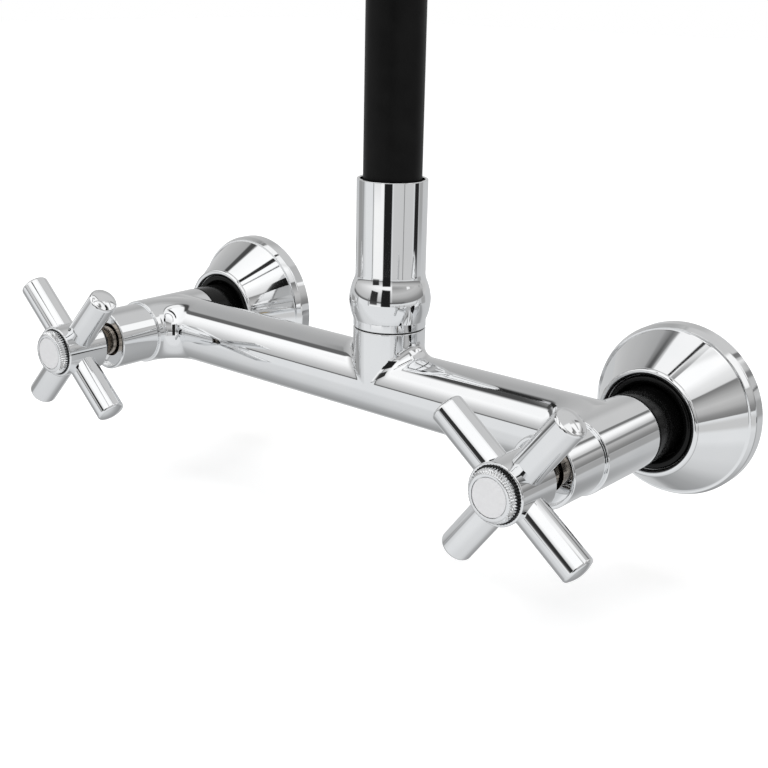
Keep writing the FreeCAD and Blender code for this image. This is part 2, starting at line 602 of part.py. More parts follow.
def spout_base():
    """Bulb and sleeve in one turned piece, threaded inside on to the stem."""
    foot = (NECK_RADIUS + BULB_FOOT, BULB_BOTTOM)
    swell = BULB_RADIUS - foot[0]
    widest = (BULB_RADIUS, BULB_WIDEST)
    fall = BULB_RADIUS - SLEEVE_RADIUS
    waist = (BULB_RADIUS - 0.75 * fall, BULB_WIDEST + 0.8 * BULB_UPPER)
    bore = STEM_RADIUS + THREAD_PLAY
    return lathe([
        (foot, (BULB_RADIUS - swell / 3, BULB_BOTTOM + 0.44 * BULB_LOWER), widest),
        (widest, (BULB_RADIUS - 0.28 * fall, BULB_WIDEST + 0.44 * BULB_UPPER), waist),
        (waist, (SLEEVE_RADIUS + 0.06 * fall, BULB_WIDEST + 0.98 * BULB_UPPER),
         (SLEEVE_RADIUS, BULB_WIDEST + 1.2 * BULB_UPPER)),
        (SLEEVE_RADIUS, SLEEVE_TOP - SLEEVE_EDGE),
        (SLEEVE_RADIUS - SLEEVE_EDGE, SLEEVE_TOP),
        (SLEEVE_BORE, SLEEVE_TOP),
        (SLEEVE_BORE, SLEEVE_FLOOR),
        (bore, SLEEVE_FLOOR),
        (bore, BULB_BOTTOM),
    ])


def spout_stem():
    """Brass stem that turns in the neck: two ring grooves and the catch groove."""
    shape = tube(STEM_RADIUS, STEM_BORE, STEM_BOTTOM, STEM_TOP)
    shape = shape.fuse(tube(NECK_BORE - RUNNING_PLAY, STEM_BORE, STEM_BOTTOM, NECK_TOP - THREAD_PLAY))
    half = STEM_RING_WIDTH / 2
    for place in STEM_RINGS:
        shape = shape.cut(tube(NECK_BORE, NECK_BORE - STEM_RING_DEPTH, place - half, place + half))
    half = CATCH_WIDTH / 2
    return shape.cut(tube(NECK_BORE, NECK_BORE - CATCH_DEPTH, CATCH_HEIGHT - half, CATCH_HEIGHT + half))


def stem_rings():
    rings = [ring_seal(NECK_BORE - STEM_RING_DEPTH, NECK_BORE - SEAL_PLAY, place, STEM_RING_WIDTH)
             for place in STEM_RINGS]
    return Part.makeCompound(rings)


def catch_screw():
    """Grub screw at the back of the neck; its point runs in the stem's groove."""
    inner = NECK_BORE - CATCH_DEPTH + CATCH_PLAY
    outer = NECK_RADIUS - CATCH_SUNK
    back = Vector(0, 1, 0)
    shape = Part.makeCylinder(CATCH_SCREW - THREAD_PLAY, outer - inner, Vector(0, inner, CATCH_HEIGHT), back)
    socket_start = Vector(0, outer - CATCH_SOCKET, CATCH_HEIGHT)
    return shape.cut(Part.makeCylinder(CATCH_SCREW / 2, CATCH_SOCKET, socket_start, back))


def hose_connector():
    """Brass connector on the sleeve's floor, with a spigot for the water tube."""
    bore = WATER_BORE - CONNECTOR_WALL
    shape = tube(SLEEVE_BORE - THREAD_PLAY, bore, SLEEVE_FLOOR, HOSE_START)
    return shape.fuse(tube(WATER_BORE - LAYER_PLAY, bore, HOSE_START, HOSE_START + CONNECTOR_SPIGOT))


def pipe(outer, inner, start, end):
    """Straight layer of the spout on the column's axis."""
    return to_column(tube(outer, inner, start, end))


def arch_pipe(outer, inner, straight_start, tail_end):
    """Layer of the arch: straight, half a turn forwards, and straight down."""
    def run(radius):
        rising = to_column(rod(radius, straight_start, ARCH_HEIGHT))
        start = Vector(COLUMN_OFFSET, BODY_Y, ARCH_HEIGHT)
        circle = Part.Face(Part.Wire(Part.makeCircle(radius, start, Vector(0, 0, 1))))
        centre = Vector(COLUMN_OFFSET, BODY_Y - ARCH_RADIUS, ARCH_HEIGHT)
        bend = circle.revolve(centre, Vector(1, 0, 0), 180)
        falling = to_nozzle(rod(radius, tail_end, ARCH_HEIGHT))
        return rising.fuse([bend, falling])
    return run(outer).cut(run(inner)).removeSplitter()


def knuckle(radius, bore, centre):
    """Ball that fills the bending gap of the hose."""
    ball = Part.makeSphere(radius, Vector(0, 0, centre))
    return ball.cut(rod(bore, centre - radius, centre + radius))


def hose_riser():
    """Black hose from inside the sleeve to the first bending point, ending in a ball."""
    shape = tube(HOSE_RADIUS, HOSE_BORE, HOSE_START, BEND_HEIGHT)
    return to_column(shape.fuse(knuckle(KNUCKLE_RADIUS, HOSE_BORE, BEND_HEIGHT)))


def hose_arch():
    """Black hose of the arch, cupped at its start and ending in a ball."""
    shape = arch_pipe(HOSE_RADIUS, HOSE_BORE, BEND_HEIGHT + BEND_SETBACK, TAIL_BEND)
    cup = Part.makeSphere(CUP_RADIUS, Vector(0, 0, BEND_HEIGHT))
    shape = shape.cut(to_column(cup))
    return shape.fuse(to_nozzle(knuckle(KNUCKLE_RADIUS, HOSE_BORE, TAIL_BEND)))


def hose_tail():
    """Last piece of the hose, cupped at its top, with its end in the nozzle."""
    shape = tube(HOSE_RADIUS, HOSE_BORE, TAIL_END, TAIL_BEND - BEND_SETBACK)
    cup = Part.makeSphere(CUP_RADIUS, Vector(0, 0, TAIL_BEND))
    return to_nozzle(shape.cut(cup))


def core_riser():
    return pipe(CORE_RADIUS, CORE_BORE, HOSE_START, BEND_HEIGHT)


def core_arch():
    return arch_pipe(CORE_RADIUS, CORE_BORE, BEND_HEIGHT + LAYER_SETBACK, TAIL_BEND)


def core_tail():
    return to_nozzle(tube(CORE_RADIUS, CORE_BORE, TAIL_END, TAIL_BEND - LAYER_SETBACK))


def water_riser():
    return pipe(WATER_RADIUS, WATER_BORE, HOSE_START, BEND_HEIGHT)


def water_arch():
    return arch_pipe(WATER_RADIUS, WATER_BORE, BEND_HEIGHT + LAYER_SETBACK, TAIL_BEND)


def water_tail():
    return to_nozzle(tube(WATER_RADIUS, WATER_BORE, TAIL_END, TAIL_BEND - LAYER_SETBACK))


def nozzle_body():
    """Chrome nozzle: socket for the hose above, seat for the aerator below."""
    shape = rod(NOZZLE_RADIUS, NOZZLE_BOTTOM, NOZZLE_TOP)
    shape = shape.makeFillet(NOZZLE_EDGE, round_edges(shape, NOZZLE_BOTTOM, NOZZLE_TOP))
    shape = shape.cut(rod(HOSE_RADIUS + LAYER_PLAY, TAIL_END, NOZZLE_TOP))
    shape = shape.cut(rod(WATER_BORE, WASHER_TOP, TAIL_END))
    shape = shape.cut(rod(AERATOR_RADIUS + THREAD_PLAY, NOZZLE_BOTTOM, WASHER_TOP))
    return to_nozzle(shape)


def aerator_ring():
    """Screwed chrome ring that holds the aerator in the nozzle."""
    shape = tube(AERATOR_RADIUS, AERATOR_BORE, AERATOR_BOTTOM, AERATOR_TOP)
    flat = Part.makeBox(2 * AERATOR_RADIUS, AERATOR_RADIUS, AERATOR_RIM,
                        Vector(-AERATOR_RADIUS, AERATOR_RADIUS - AERATOR_FLAT, AERATOR_BOTTOM))
    shape = shape.cut([flat, turned_about(flat, 180)])
    lip = tube(AERATOR_BORE, AERATOR_BORE - AERATOR_LIP, AERATOR_BOTTOM, AERATOR_BOTTOM + AERATOR_LIP_HEIGHT)
    return to_nozzle(shape.fuse(lip))


def aerator_insert():
    """Plastic insert with a ring of jets, standing on the ring's lip."""
    floor = AERATOR_BOTTOM + AERATOR_LIP_HEIGHT
    shape = rod(AERATOR_BORE - THREAD_PLAY, floor, AERATOR_TOP)
    for k in range(JET_COUNT):
        angle = 2 * math.pi * k / JET_COUNT
        place = Vector(JET_CIRCLE * math.cos(angle), JET_CIRCLE * math.sin(angle), floor)
        shape = shape.cut(Part.makeCylinder(JET_RADIUS, AERATOR_TOP - floor, place))
    return to_nozzle(shape.cut(rod(CENTRE_JET, floor, AERATOR_TOP)))


def aerator_washer():
    """Rubber washer between the nozzle's web and the aerator ring."""
    outer = AERATOR_RADIUS - WASHER_PLAY
    return to_nozzle(tube(outer, WATER_BORE + WASHER_WATERWAY, WASHER_TOP - WASHER_HEIGHT, WASHER_TOP))


def side_parts(side):
    """All the pieces of one valve, from the wall to the index disc."""
    turn = HANDLE_TURNS[side]
    fixed = {
        "inlet_nipple": inlet_nipple(),
        "inlet_washer": inlet_washer(),
        "flange_ring": flange_ring(),
        "wall_flange": wall_flange(),
        "seat_seal": seat_seal(),
        "fixed_disc": ceramic_disc(LOWER_DISC, (0, 180)),
        "headpart_body": headpart_body(),
        "gland_ring": gland_ring(),
        "bonnet_collar": bonnet_collar(),
    }
    turning = {
        "turning_disc": ceramic_disc(UPPER_DISC, (90, 270)),
        "spindle": spindle(),
        "spindle_rings": spindle_rings(),
        "spindle_clip": spindle_clip(),
        "handle_hub": turned_about(handle_hub(), turn),
        "handle_arms": turned_about(handle_arms(), turn),
        "handle_screw": turned_about(handle_screw(), turn),
        "index_cap": turned_about(index_cap(), turn),
        "index_disc": index_disc(),
    }
    return {**fixed, **turning}


def spout_parts():
    return {
        "bearing_washer": to_column(bearing_washer()),
        "trim_ring": to_column(trim_ring()),
        "spout_base": to_column(spout_base()),
        "spout_stem": to_column(spout_stem()),
        "stem_rings": to_column(stem_rings()),
        "catch_screw": to_column(catch_screw()),
        "hose_connector": to_column(hose_connector()),
        "hose_riser": hose_riser(),
        "hose_arch": hose_arch(),
        "hose_tail": hose_tail(),
        "core_riser": core_riser(),
        "core_arch": core_arch(),
        "core_tail": core_tail(),
        "water_riser": water_riser(),
        "water_arch": water_arch(),
        "water_tail": water_tail(),
        "nozzle_body": nozzle_body(),
        "aerator_ring": aerator_ring(),
        "aerator_insert": aerator_insert(),
        "aerator_washer": aerator_washer(),
    }


def main():
    os.makedirs("parts", exist_ok=True)
    parts = {"body_casting": body_casting()}
    for side in SIDES:
        for name, shape in side_parts(side).items():
            parts[side + "_" + name] = to_valve(shape, side)
    parts.update(spout_parts())
    for name, shape in parts.items():
        shape.exportStep("parts/" + name + ".step")
        print(name, "solids", len(shape.Solids), "volume", round(shape.Volume, 1), "valid", shape.isValid())


main()
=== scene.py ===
# %% [markdown]
# # Wall mixer with a flexible spout
# The mixer hangs on a wall by two cones. A chrome casting joins them and carries two valves
# with cross handles, and a black flexible hose rises from its middle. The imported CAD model
# gives every place, so this notebook loads it first and builds the looks round it. Sizes below
# are in millimetres, as on a drawing, and each finished piece is scaled to metres once.

import json
import math

import bmesh
import bpy
import numpy as np
from mathutils import Matrix, Vector


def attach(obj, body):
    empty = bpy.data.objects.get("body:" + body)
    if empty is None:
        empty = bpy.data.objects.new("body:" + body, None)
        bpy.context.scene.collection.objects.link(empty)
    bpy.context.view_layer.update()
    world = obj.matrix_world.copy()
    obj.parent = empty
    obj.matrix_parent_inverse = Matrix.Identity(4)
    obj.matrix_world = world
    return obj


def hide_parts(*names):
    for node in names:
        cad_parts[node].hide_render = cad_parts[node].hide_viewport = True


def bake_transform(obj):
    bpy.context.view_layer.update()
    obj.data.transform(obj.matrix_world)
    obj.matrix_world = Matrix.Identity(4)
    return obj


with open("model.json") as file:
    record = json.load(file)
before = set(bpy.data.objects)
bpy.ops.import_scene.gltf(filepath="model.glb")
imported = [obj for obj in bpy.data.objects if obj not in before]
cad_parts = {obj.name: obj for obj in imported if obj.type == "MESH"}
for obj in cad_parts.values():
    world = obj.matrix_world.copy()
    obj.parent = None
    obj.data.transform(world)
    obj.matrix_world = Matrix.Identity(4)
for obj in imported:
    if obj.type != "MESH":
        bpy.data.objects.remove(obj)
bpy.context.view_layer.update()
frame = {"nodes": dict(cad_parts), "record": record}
MM = 0.001

# %% [markdown]
# ## Main sizes
# These repeat the CAD model's own values. The wall is the plane Y = 0 and the handles point
# to -Y, so a depth counts from the wall towards the person who uses the mixer.

# %% Sizes
INLET_X = 100.0
BODY_STANDOFF = 47.0
TUBE_RADIUS = 12.1
CAST_REAR = 34.7
CAST_FRONT = 65.4
COLUMN_X = 12.0
NECK_RADIUS = 12.45
NECK_TOP = 20.2
THREAD_RADIUS = 10.48
COLLAR_FRONT = 82.3
HUB_REAR = 88.5
HUB_FRONT = 105.3
HUB_RADIUS = 9.4
SIDES = {"hot": -1, "cold": 1}
HANDLE_TURNS = {"hot": 2.0, "cold": 7.6}
print("casting depth", CAST_FRONT - CAST_REAR, "handle reach", HUB_FRONT)

# %% [markdown]
# ## Procedural finishes
# Chrome has hardly any colour of its own: it shows the room. What makes it look real is that
# plating is never perfectly flat, so a very faint, slow waviness bends the reflections and a
# fine noise varies the polish. Both are read from Object coordinates, which are metres here,
# so one finish has the same grain size on every piece.

# %% Helpers for finishes
def new_finish(name, colour, metallic, roughness):
    """A material with a Principled shader, and its node tree for adding detail."""
    material = bpy.data.materials.new(name)
    material.use_nodes = True
    tree = material.node_tree
    shader = tree.nodes["Principled BSDF"]
    shader.inputs["Base Color"].default_value = (*colour, 1.0)
    shader.inputs["Metallic"].default_value = metallic
    shader.inputs["Roughness"].default_value = roughness
    return material, tree, shader


def add_noise(tree, scale, detail, stretch=(1, 1, 1)):
    """Noise on Object coordinates; stretch draws the grain out along an axis."""
    place = tree.nodes.new("ShaderNodeTexCoord")
    mapping = tree.nodes.new("ShaderNodeMapping")
    noise = tree.nodes.new("ShaderNodeTexNoise")
    mapping.inputs["Scale"].default_value = stretch
    noise.inputs["Scale"].default_value = scale
    noise.inputs["Detail"].default_value = detail
    tree.links.new(place.outputs["Object"], mapping.inputs["Vector"])
    tree.links.new(mapping.outputs["Vector"], noise.inputs["Vector"])
    return noise.outputs["Fac"]


def vary(tree, shader, socket, noise, low, high):
    """Lets a noise move one shader value between two limits."""
    spread = tree.nodes.new("ShaderNodeMapRange")
    spread.inputs["To Min"].default_value = low
    spread.inputs["To Max"].default_value = high
    tree.links.new(noise, spread.inputs["Value"])
    tree.links.new(spread.outputs["Result"], shader.inputs[socket])


def tint(tree, shader, noise, first, second):
    """Lets a noise move the colour between two near tones."""
    ramp = tree.nodes.new("ShaderNodeValToRGB")
    ramp.color_ramp.elements[0].color = (*first, 1.0)
    ramp.color_ramp.elements[1].color = (*second, 1.0)
    ramp.color_ramp.elements[0].position = 0.3
    ramp.color_ramp.elements[1].position = 0.7
    tree.links.new(noise, ramp.inputs["Fac"])
    tree.links.new(ramp.outputs["Color"], shader.inputs["Base Color"])


def emboss(tree, shader, noise, distance, strength=1.0):
    """Turns a noise into fine relief of the given height in metres."""
    bump = tree.nodes.new("ShaderNodeBump")
    bump.inputs["Distance"].default_value = distance
    bump.inputs["Strength"].default_value = strength
    tree.links.new(noise, bump.inputs["Height"])
    tree.links.new(bump.outputs["Normal"], shader.inputs["Normal"])


# %% [markdown]
# The plated parts are all one finish: a bright, very slightly blue metal. The waviness is only
# about a hundredth of a millimetre high, because more would look like dented foil.

# %% Chrome plate
chrome, tree, shader = new_finish("chrome plate", (0.86, 0.87, 0.88), 1.0, 0.04)
tint(tree, shader, add_noise(tree, 55.0, 3.0), (0.84, 0.85, 0.86), (0.88, 0.885, 0.89))
vary(tree, shader, "Roughness", add_noise(tree, 140.0, 4.0), 0.025, 0.06)
emboss(tree, shader, add_noise(tree, 60.0, 1.0), 0.000012)
print("finish:", chrome.name)

# %% [markdown]
# The disc in each cap is satin metal, so it scatters light widely and has a faint grain. The
# gland is nickel plate, warmer than chrome and left as it came off the lathe, so a bump drawn out
# round the axis gives it turned ridges. Its much darker colour is partly the nickel's own and
# partly painted shade, and its colour noise, drawn out the same way, paints light and dark bands
# as reflections of those ridges. Screws, clips and the hose's core are plain steel, and nipples,
# spindles and the spout's stem are brass.

# %% Satin, nickel, steel and brass
satin, tree, shader = new_finish("satin disc", (0.86, 0.86, 0.87), 0.35, 0.42)
tint(tree, shader, add_noise(tree, 900.0, 3.0), (0.855, 0.855, 0.865), (0.885, 0.885, 0.895))
vary(tree, shader, "Roughness", add_noise(tree, 2500.0, 2.0), 0.38, 0.46)
emboss(tree, shader, add_noise(tree, 2500.0, 2.0), 0.000002)

# The gland's dark colour is partly painted shade, and the drawn-out tint paints light ridges as
# reflections.
nickel, tree, shader = new_finish("nickel plate", (0.26, 0.23, 0.2), 1.0, 0.2)
tint(tree, shader, add_noise(tree, 700.0, 2.0, (0.05, 1, 0.05)), (0.27, 0.235, 0.205), (0.5, 0.455, 0.4))
vary(tree, shader, "Roughness", add_noise(tree, 700.0, 2.0, (0.3, 4, 0.3)), 0.12, 0.22)
emboss(tree, shader, add_noise(tree, 800.0, 1.0, (0.03, 1, 0.03)), 0.00006)

steel, tree, shader = new_finish("stainless steel", (0.6, 0.6, 0.61), 1.0, 0.28)
tint(tree, shader, add_noise(tree, 300.0, 3.0), (0.55, 0.55, 0.56), (0.66, 0.66, 0.67))
vary(tree, shader, "Roughness", add_noise(tree, 1200.0, 3.0, (1, 1, 0.1)), 0.2, 0.38)

brass, tree, shader = new_finish("machined brass", (0.72, 0.56, 0.3), 1.0, 0.25)
tint(tree, shader, add_noise(tree, 180.0, 4.0), (0.62, 0.47, 0.24), (0.78, 0.62, 0.35))
vary(tree, shader, "Roughness", add_noise(tree, 900.0, 3.0), 0.18, 0.36)
emboss(tree, shader, add_noise(tree, 1400.0, 1.0, (0.05, 1, 0.05)), 0.00002)

# %% [markdown]
# The hose is drawn over with matt silicone and the ring in each cone is glossy rubber. Both
# are nearly black. Silicone gets a soft sheen from its fine, dull grain, while the rubber is
# smooth enough to show the edges of the room. The small seals are a little greyer and duller.

# %% Rubber and hose
hose_black, tree, shader = new_finish("hose silicone", (0.004, 0.004, 0.004), 0.0, 0.42)
shader.inputs["Specular IOR Level"].default_value = 0.12
tint(tree, shader, add_noise(tree, 130.0, 4.0), (0.003, 0.003, 0.003), (0.0055, 0.0055, 0.0055))
vary(tree, shader, "Roughness", add_noise(tree, 1500.0, 3.0), 0.36, 0.5)
emboss(tree, shader, add_noise(tree, 2200.0, 3.0), 0.000012)

ring_black, tree, shader = new_finish("glossy rubber", (0.002, 0.002, 0.002), 0.0, 0.12)
shader.inputs["Specular IOR Level"].default_value = 0.2
tint(tree, shader, add_noise(tree, 150.0, 3.0), (0.0015, 0.0015, 0.0015), (0.003, 0.003, 0.003))
vary(tree, shader, "Roughness", add_noise(tree, 600.0, 4.0), 0.12, 0.22)
emboss(tree, shader, add_noise(tree, 260.0, 2.0), 0.00003)

seal_black, tree, shader = new_finish("seal rubber", (0.02, 0.02, 0.02), 0.0, 0.45)
tint(tree, shader, add_noise(tree, 500.0, 3.0), (0.015, 0.015, 0.015), (0.03, 0.03, 0.03))
vary(tree, shader, "Roughness", add_noise(tree, 1300.0, 3.0), 0.38, 0.55)

# %% [markdown]
# The rest of the finishes are for parts inside: ceramic discs, fibre washers, the water tube
# and moulded plastic. They are seldom seen but still get a grain, so an opened view looks right.

# %% Ceramic, fibre and plastics
ceramic, tree, shader = new_finish("lapped ceramic", (0.9, 0.89, 0.86), 0.0, 0.2)
tint(tree, shader, add_noise(tree, 400.0, 3.0), (0.87, 0.86, 0.83), (0.93, 0.92, 0.9))
vary(tree, shader, "Roughness", add_noise(tree, 1000.0, 2.0), 0.14, 0.28)

fibre, tree, shader = new_finish("pressed fibre", (0.25, 0.1, 0.08), 0.0, 0.8)
tint(tree, shader, add_noise(tree, 1200.0, 5.0), (0.2, 0.07, 0.05), (0.33, 0.15, 0.11))
emboss(tree, shader, add_noise(tree, 1500.0, 4.0), 0.00005)

clear_plastic, tree, shader = new_finish("water tube plastic", (0.8, 0.8, 0.78), 0.0, 0.35)
tint(tree, shader, add_noise(tree, 200.0, 2.0), (0.76, 0.76, 0.74), (0.84, 0.84, 0.82))
vary(tree, shader, "Roughness", add_noise(tree, 800.0, 2.0), 0.28, 0.42)

moulded, tree, shader = new_finish("moulded plastic", (0.75, 0.75, 0.73), 0.0, 0.45)
tint(tree, shader, add_noise(tree, 250.0, 3.0), (0.71, 0.71, 0.69), (0.79, 0.79, 0.77))
emboss(tree, shader, add_noise(tree, 1800.0, 2.0), 0.00002)

FINISHES = {
    "chrome": chrome, "brass": brass, "nickel": nickel, "steel": steel, "ceramic": ceramic,
    "black_rubber": ring_black, "seal_rubber": seal_black, "fibre": fibre, "hose": hose_black,
    "water_tube": clear_plastic, "plastic": moulded, "satin_disc": satin,
}
print(len(FINISHES), "finishes")

# %% [markdown]
# ## Carried-over CAD nodes
# Every CAD solid first gets the finish of its material slot. The ones that show are replaced
# further down by smoother pieces; the ones inside stay as they are. The edge of the bearing
# washer is the thin dark line under the trim ring, so this washer gets the black of the seals.

# %% Dress the CAD nodes
slot_of = {part["node"]: part["material_slot"] for part in frame["record"]["subparts"]}
for name, node in frame["nodes"].items():
    node.data.materials.clear()
    node.data.materials.append(FINISHES[slot_of[name]])
frame["nodes"]["bearing_washer"].data.materials[0] = seal_black
print(len(frame["nodes"]), "CAD nodes dressed")

# %% [markdown]
# ## Turned pieces
# Nearly every part of a tap is made on a lathe: the tool follows an outline while the work
# spins. The same is done here. An outline of a few corners is drawn in the XZ plane, a vertex
# bevel rounds the corners that a lathe hand would break, and Spin sweeps it once round.
# Polished metal shows every facet, so there are many steps, the wide faces are weighted in the
# shading, and only edges over 35 degrees stay sharp.

# %% Helpers for turned pieces
SPIN_STEPS = 144
SHARP = math.radians(35)


def through(start, middle, end, steps=10):
    """Points of the arc from start over middle to end, as (radius, height)."""
    a, b, c = (complex(*p) for p in (start, middle, end))
    w = (c - a) / (b - a)
    centre = (b - a) * (w - abs(w) ** 2) / (2j * w.imag) + a
    first = a - centre
    sweep = math.remainder(np.angle((b - centre) / first), math.tau)
    sweep += math.remainder(np.angle((c - centre) / (b - centre)), math.tau)
    points = [centre + first * np.exp(1j * sweep * k / steps) for k in range(steps + 1)]
    return [(float(p.real), float(p.imag)) for p in points]


def turned(outline, closed=True, steps=SPIN_STEPS):
    """Spins an outline of (radius, height) or (radius, height, rounding) corners about Z."""
    bm = bmesh.new()
    corners = [bm.verts.new((corner[0], 0, corner[1])) for corner in outline]
    following = corners[1:] + corners[:1] if closed else corners[1:]
    for here, there in zip(corners, following):
        bm.edges.new((here, there))
    for vert, corner in zip(corners, outline):
        if len(corner) == 3:
            bmesh.ops.bevel(bm, geom=[vert], offset=corner[2], offset_type="OFFSET", segments=6,
                            profile=0.5, affect="VERTICES", material=-1)
    bmesh.ops.spin(bm, geom=bm.verts[:] + bm.edges[:], cent=(0, 0, 0), axis=(0, 0, 1), dvec=(0, 0, 0),
                   angle=math.tau, steps=steps, use_merge=True)
    return bm


def finished(name, bm, finish, even=True):
    """Cleans a mesh, scales it to metres and makes it an object at the origin."""
    bmesh.ops.remove_doubles(bm, verts=bm.verts, dist=0.002)
    bmesh.ops.recalc_face_normals(bm, faces=bm.faces)
    for face in bm.faces:
        face.smooth = True
    for edge in bm.edges:
        edge.smooth = len(edge.link_faces) == 2 and edge.calc_face_angle() < SHARP
    bmesh.ops.scale(bm, vec=(MM, MM, MM), verts=bm.verts)
    mesh = bpy.data.meshes.new(name)
    bm.to_mesh(mesh)
    bm.free()
    mesh.materials.append(finish)
    piece = bpy.data.objects.new(name, mesh)
    bpy.context.scene.collection.objects.link(piece)
    if even:
        shading = piece.modifiers.new("even shading", "WEIGHTED_NORMAL")
        shading.keep_sharp = True
    return piece


# %% [markdown]
# Every piece is made about the Z axis and only then laid on the axis of its valve or moved to
# the spout column. Dressing says which body of the frame the piece rides on and which CAD nodes
# it stands for.

# %% Helpers for places
def to_valve(bm, side, turn=0.0):
    """Lays a piece made about Z, zero at the wall, on one valve's axis."""
    lay = Matrix.Rotation(math.radians(90), 4, "X") @ Matrix.Rotation(math.radians(turn), 4, "Z")
    place = Matrix.Translation((SIDES[side] * INLET_X, 0, 0))
    bmesh.ops.transform(bm, matrix=place @ lay, verts=bm.verts)
    return bm


def to_column(bm, forward=BODY_STANDOFF):
    """Moves a piece made about Z on to the spout column, or further forward."""
    bmesh.ops.translate(bm, vec=(COLUMN_X, -forward, 0), verts=bm.verts)
    return bm


def dress(piece, body, slot, *nodes):
    """Lets a piece ride on a body in place of CAD nodes."""
    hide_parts(*nodes)
    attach(piece, body)
    print(piece.name, len(piece.data.polygons), "faces, rides on", body)


# %% [markdown]
# ## The casting
# The body is one casting: a long tube, a short cross tube at each end, a soft bend in each
# front corner and a neck for the spout, all running into each other. On such a shape the flow
# of the reflections matters more than anything else. Booleans would leave creases, so the tubes
# are only roughly joined by a voxel remesh, like clay, and then each point is settled on the
# exact skin: the nearest tube, or the fillet that a rolling ball leaves between two tubes.

# %% Skins of a tube and a fillet
FRONT_FILLET = 5.0
NECK_FILLET = 5.0
REAR_EDGE = 0.8
CREASE_FILLET = 2.0
NEARLY_PARALLEL = 0.9995


def tube_skin(points, centre, axis, radius):
    """How far each point is outside a tube, and the way out."""
    away = points - centre
    away = away - np.outer(away @ axis, axis)
    length = np.maximum(np.linalg.norm(away, axis=1), 1e-6)
    return length - radius, away / length[:, None]


def rolled(first, second, radius):
    """Joins two skins with the fillet of a ball that rolls between them."""
    (gap_a, way_a), (gap_b, way_b) = first, second
    k = np.clip(np.sum(way_a * way_b, axis=1), -1, NEARLY_PARALLEL)
    u, v = gap_a - radius, gap_b - radius
    share_a, share_b = (k * v - u) / (1 - k * k), (k * u - v) / (1 - k * k)
    touched = (share_a > 0) & (share_b > 0) & (u < 0) & (v < 0)
    to_ball = share_a[:, None] * way_a + share_b[:, None] * way_b
    length = np.maximum(np.linalg.norm(to_ball, axis=1), 1e-6)
    nearer = gap_a < gap_b
    gap = np.where(touched, radius - length, np.where(nearer, gap_a, gap_b))
    way = np.where(touched[:, None], to_ball / length[:, None], np.where(nearer[:, None], way_a, way_b))
    return gap, way


# %% [markdown]
# Each cross tube, each bend and the neck has its own skin, and the whole casting rolls them
# into one another. The neck narrows a little towards its foot, so that it meets the body tube
# without a step. Where a piece ends, its skin is said to be far away.

# %% Skin of the whole casting
BEND_RADIUS = TUBE_RADIUS + FRONT_FILLET
FOOT_UNDERSIZE = 0.1
FAR = 99.0


def cross_skin(points, sign):
    """One cross tube, with a rounded edge at its end towards the wall."""
    side = tube_skin(points, np.array((sign * INLET_X, 0, 0)), np.array((0, 1, 0)), TUBE_RADIUS)
    behind = points[:, 1] + CAST_REAR
    u, v = side[0] + REAR_EDGE, behind + REAR_EDGE
    length = np.hypot(u, v)
    back = np.array((0, 1, 0))
    corner = (u > 0) & (v > 0)
    turned_out = (u[:, None] * side[1] + v[:, None] * back) / np.maximum(length, 1e-6)[:, None]
    gap = np.where(corner, length - REAR_EDGE, np.maximum(side[0], behind))
    way = np.where(corner[:, None], turned_out, np.where((behind > side[0])[:, None], back, side[1]))
    return gap, way


def bend_skin(points, sign):
    """The soft bend in one front corner: a quarter of a ring."""
    centre = np.array((sign * (INLET_X - BEND_RADIUS), -BODY_STANDOFF - BEND_RADIUS, 0))
    flat = (points - centre) * (1, 1, 0)
    length = np.maximum(np.linalg.norm(flat, axis=1), 1e-6)
    away = points - centre - flat / length[:, None] * BEND_RADIUS
    reach = np.maximum(np.linalg.norm(away, axis=1), 1e-6)
    inside = (flat[:, 0] * sign >= 0) & (flat[:, 1] >= 0)
    return np.where(inside, reach - TUBE_RADIUS, FAR), away / reach[:, None]


def casting_skin(points):
    """The whole casting: how far each point is outside it, and the way out."""
    along = np.array((1, 0, 0))
    gap, way = tube_skin(points, np.array((0, -BODY_STANDOFF, 0)), along, TUBE_RADIUS)
    skin = (np.where(np.abs(points[:, 0]) <= INLET_X, gap, FAR), way)
    for sign in SIDES.values():
        skin = rolled(skin, cross_skin(points, sign), CREASE_FILLET)
        skin = rolled(skin, bend_skin(points, sign), FRONT_FILLET)
    rise = np.clip(points[:, 2] / NECK_TOP, 0, 1)
    narrowing = (NECK_RADIUS - TUBE_RADIUS + FOOT_UNDERSIZE) * (1 - rise) ** 2
    column = np.array((COLUMN_X, -BODY_STANDOFF, 0))
    gap, way = tube_skin(points, column, np.array((0, 0, 1)), NECK_RADIUS - narrowing)
    return rolled(skin, (np.where(points[:, 2] >= 0, gap, FAR), way), NECK_FILLET)


# %% [markdown]
# The rough form is four plain tubes and two spun bends that overlap, each a little too long
# where a machined end comes later. The bends are a hair slimmer than the tubes, so that no two
# faces coincide. Remesh turns them all into one even net of small squares.

# %% Rough form of the casting
VOXEL = 0.7
SPARE = 2.0
EVEN_STEPS = 96
BEND_UNDERSIZE = 0.05


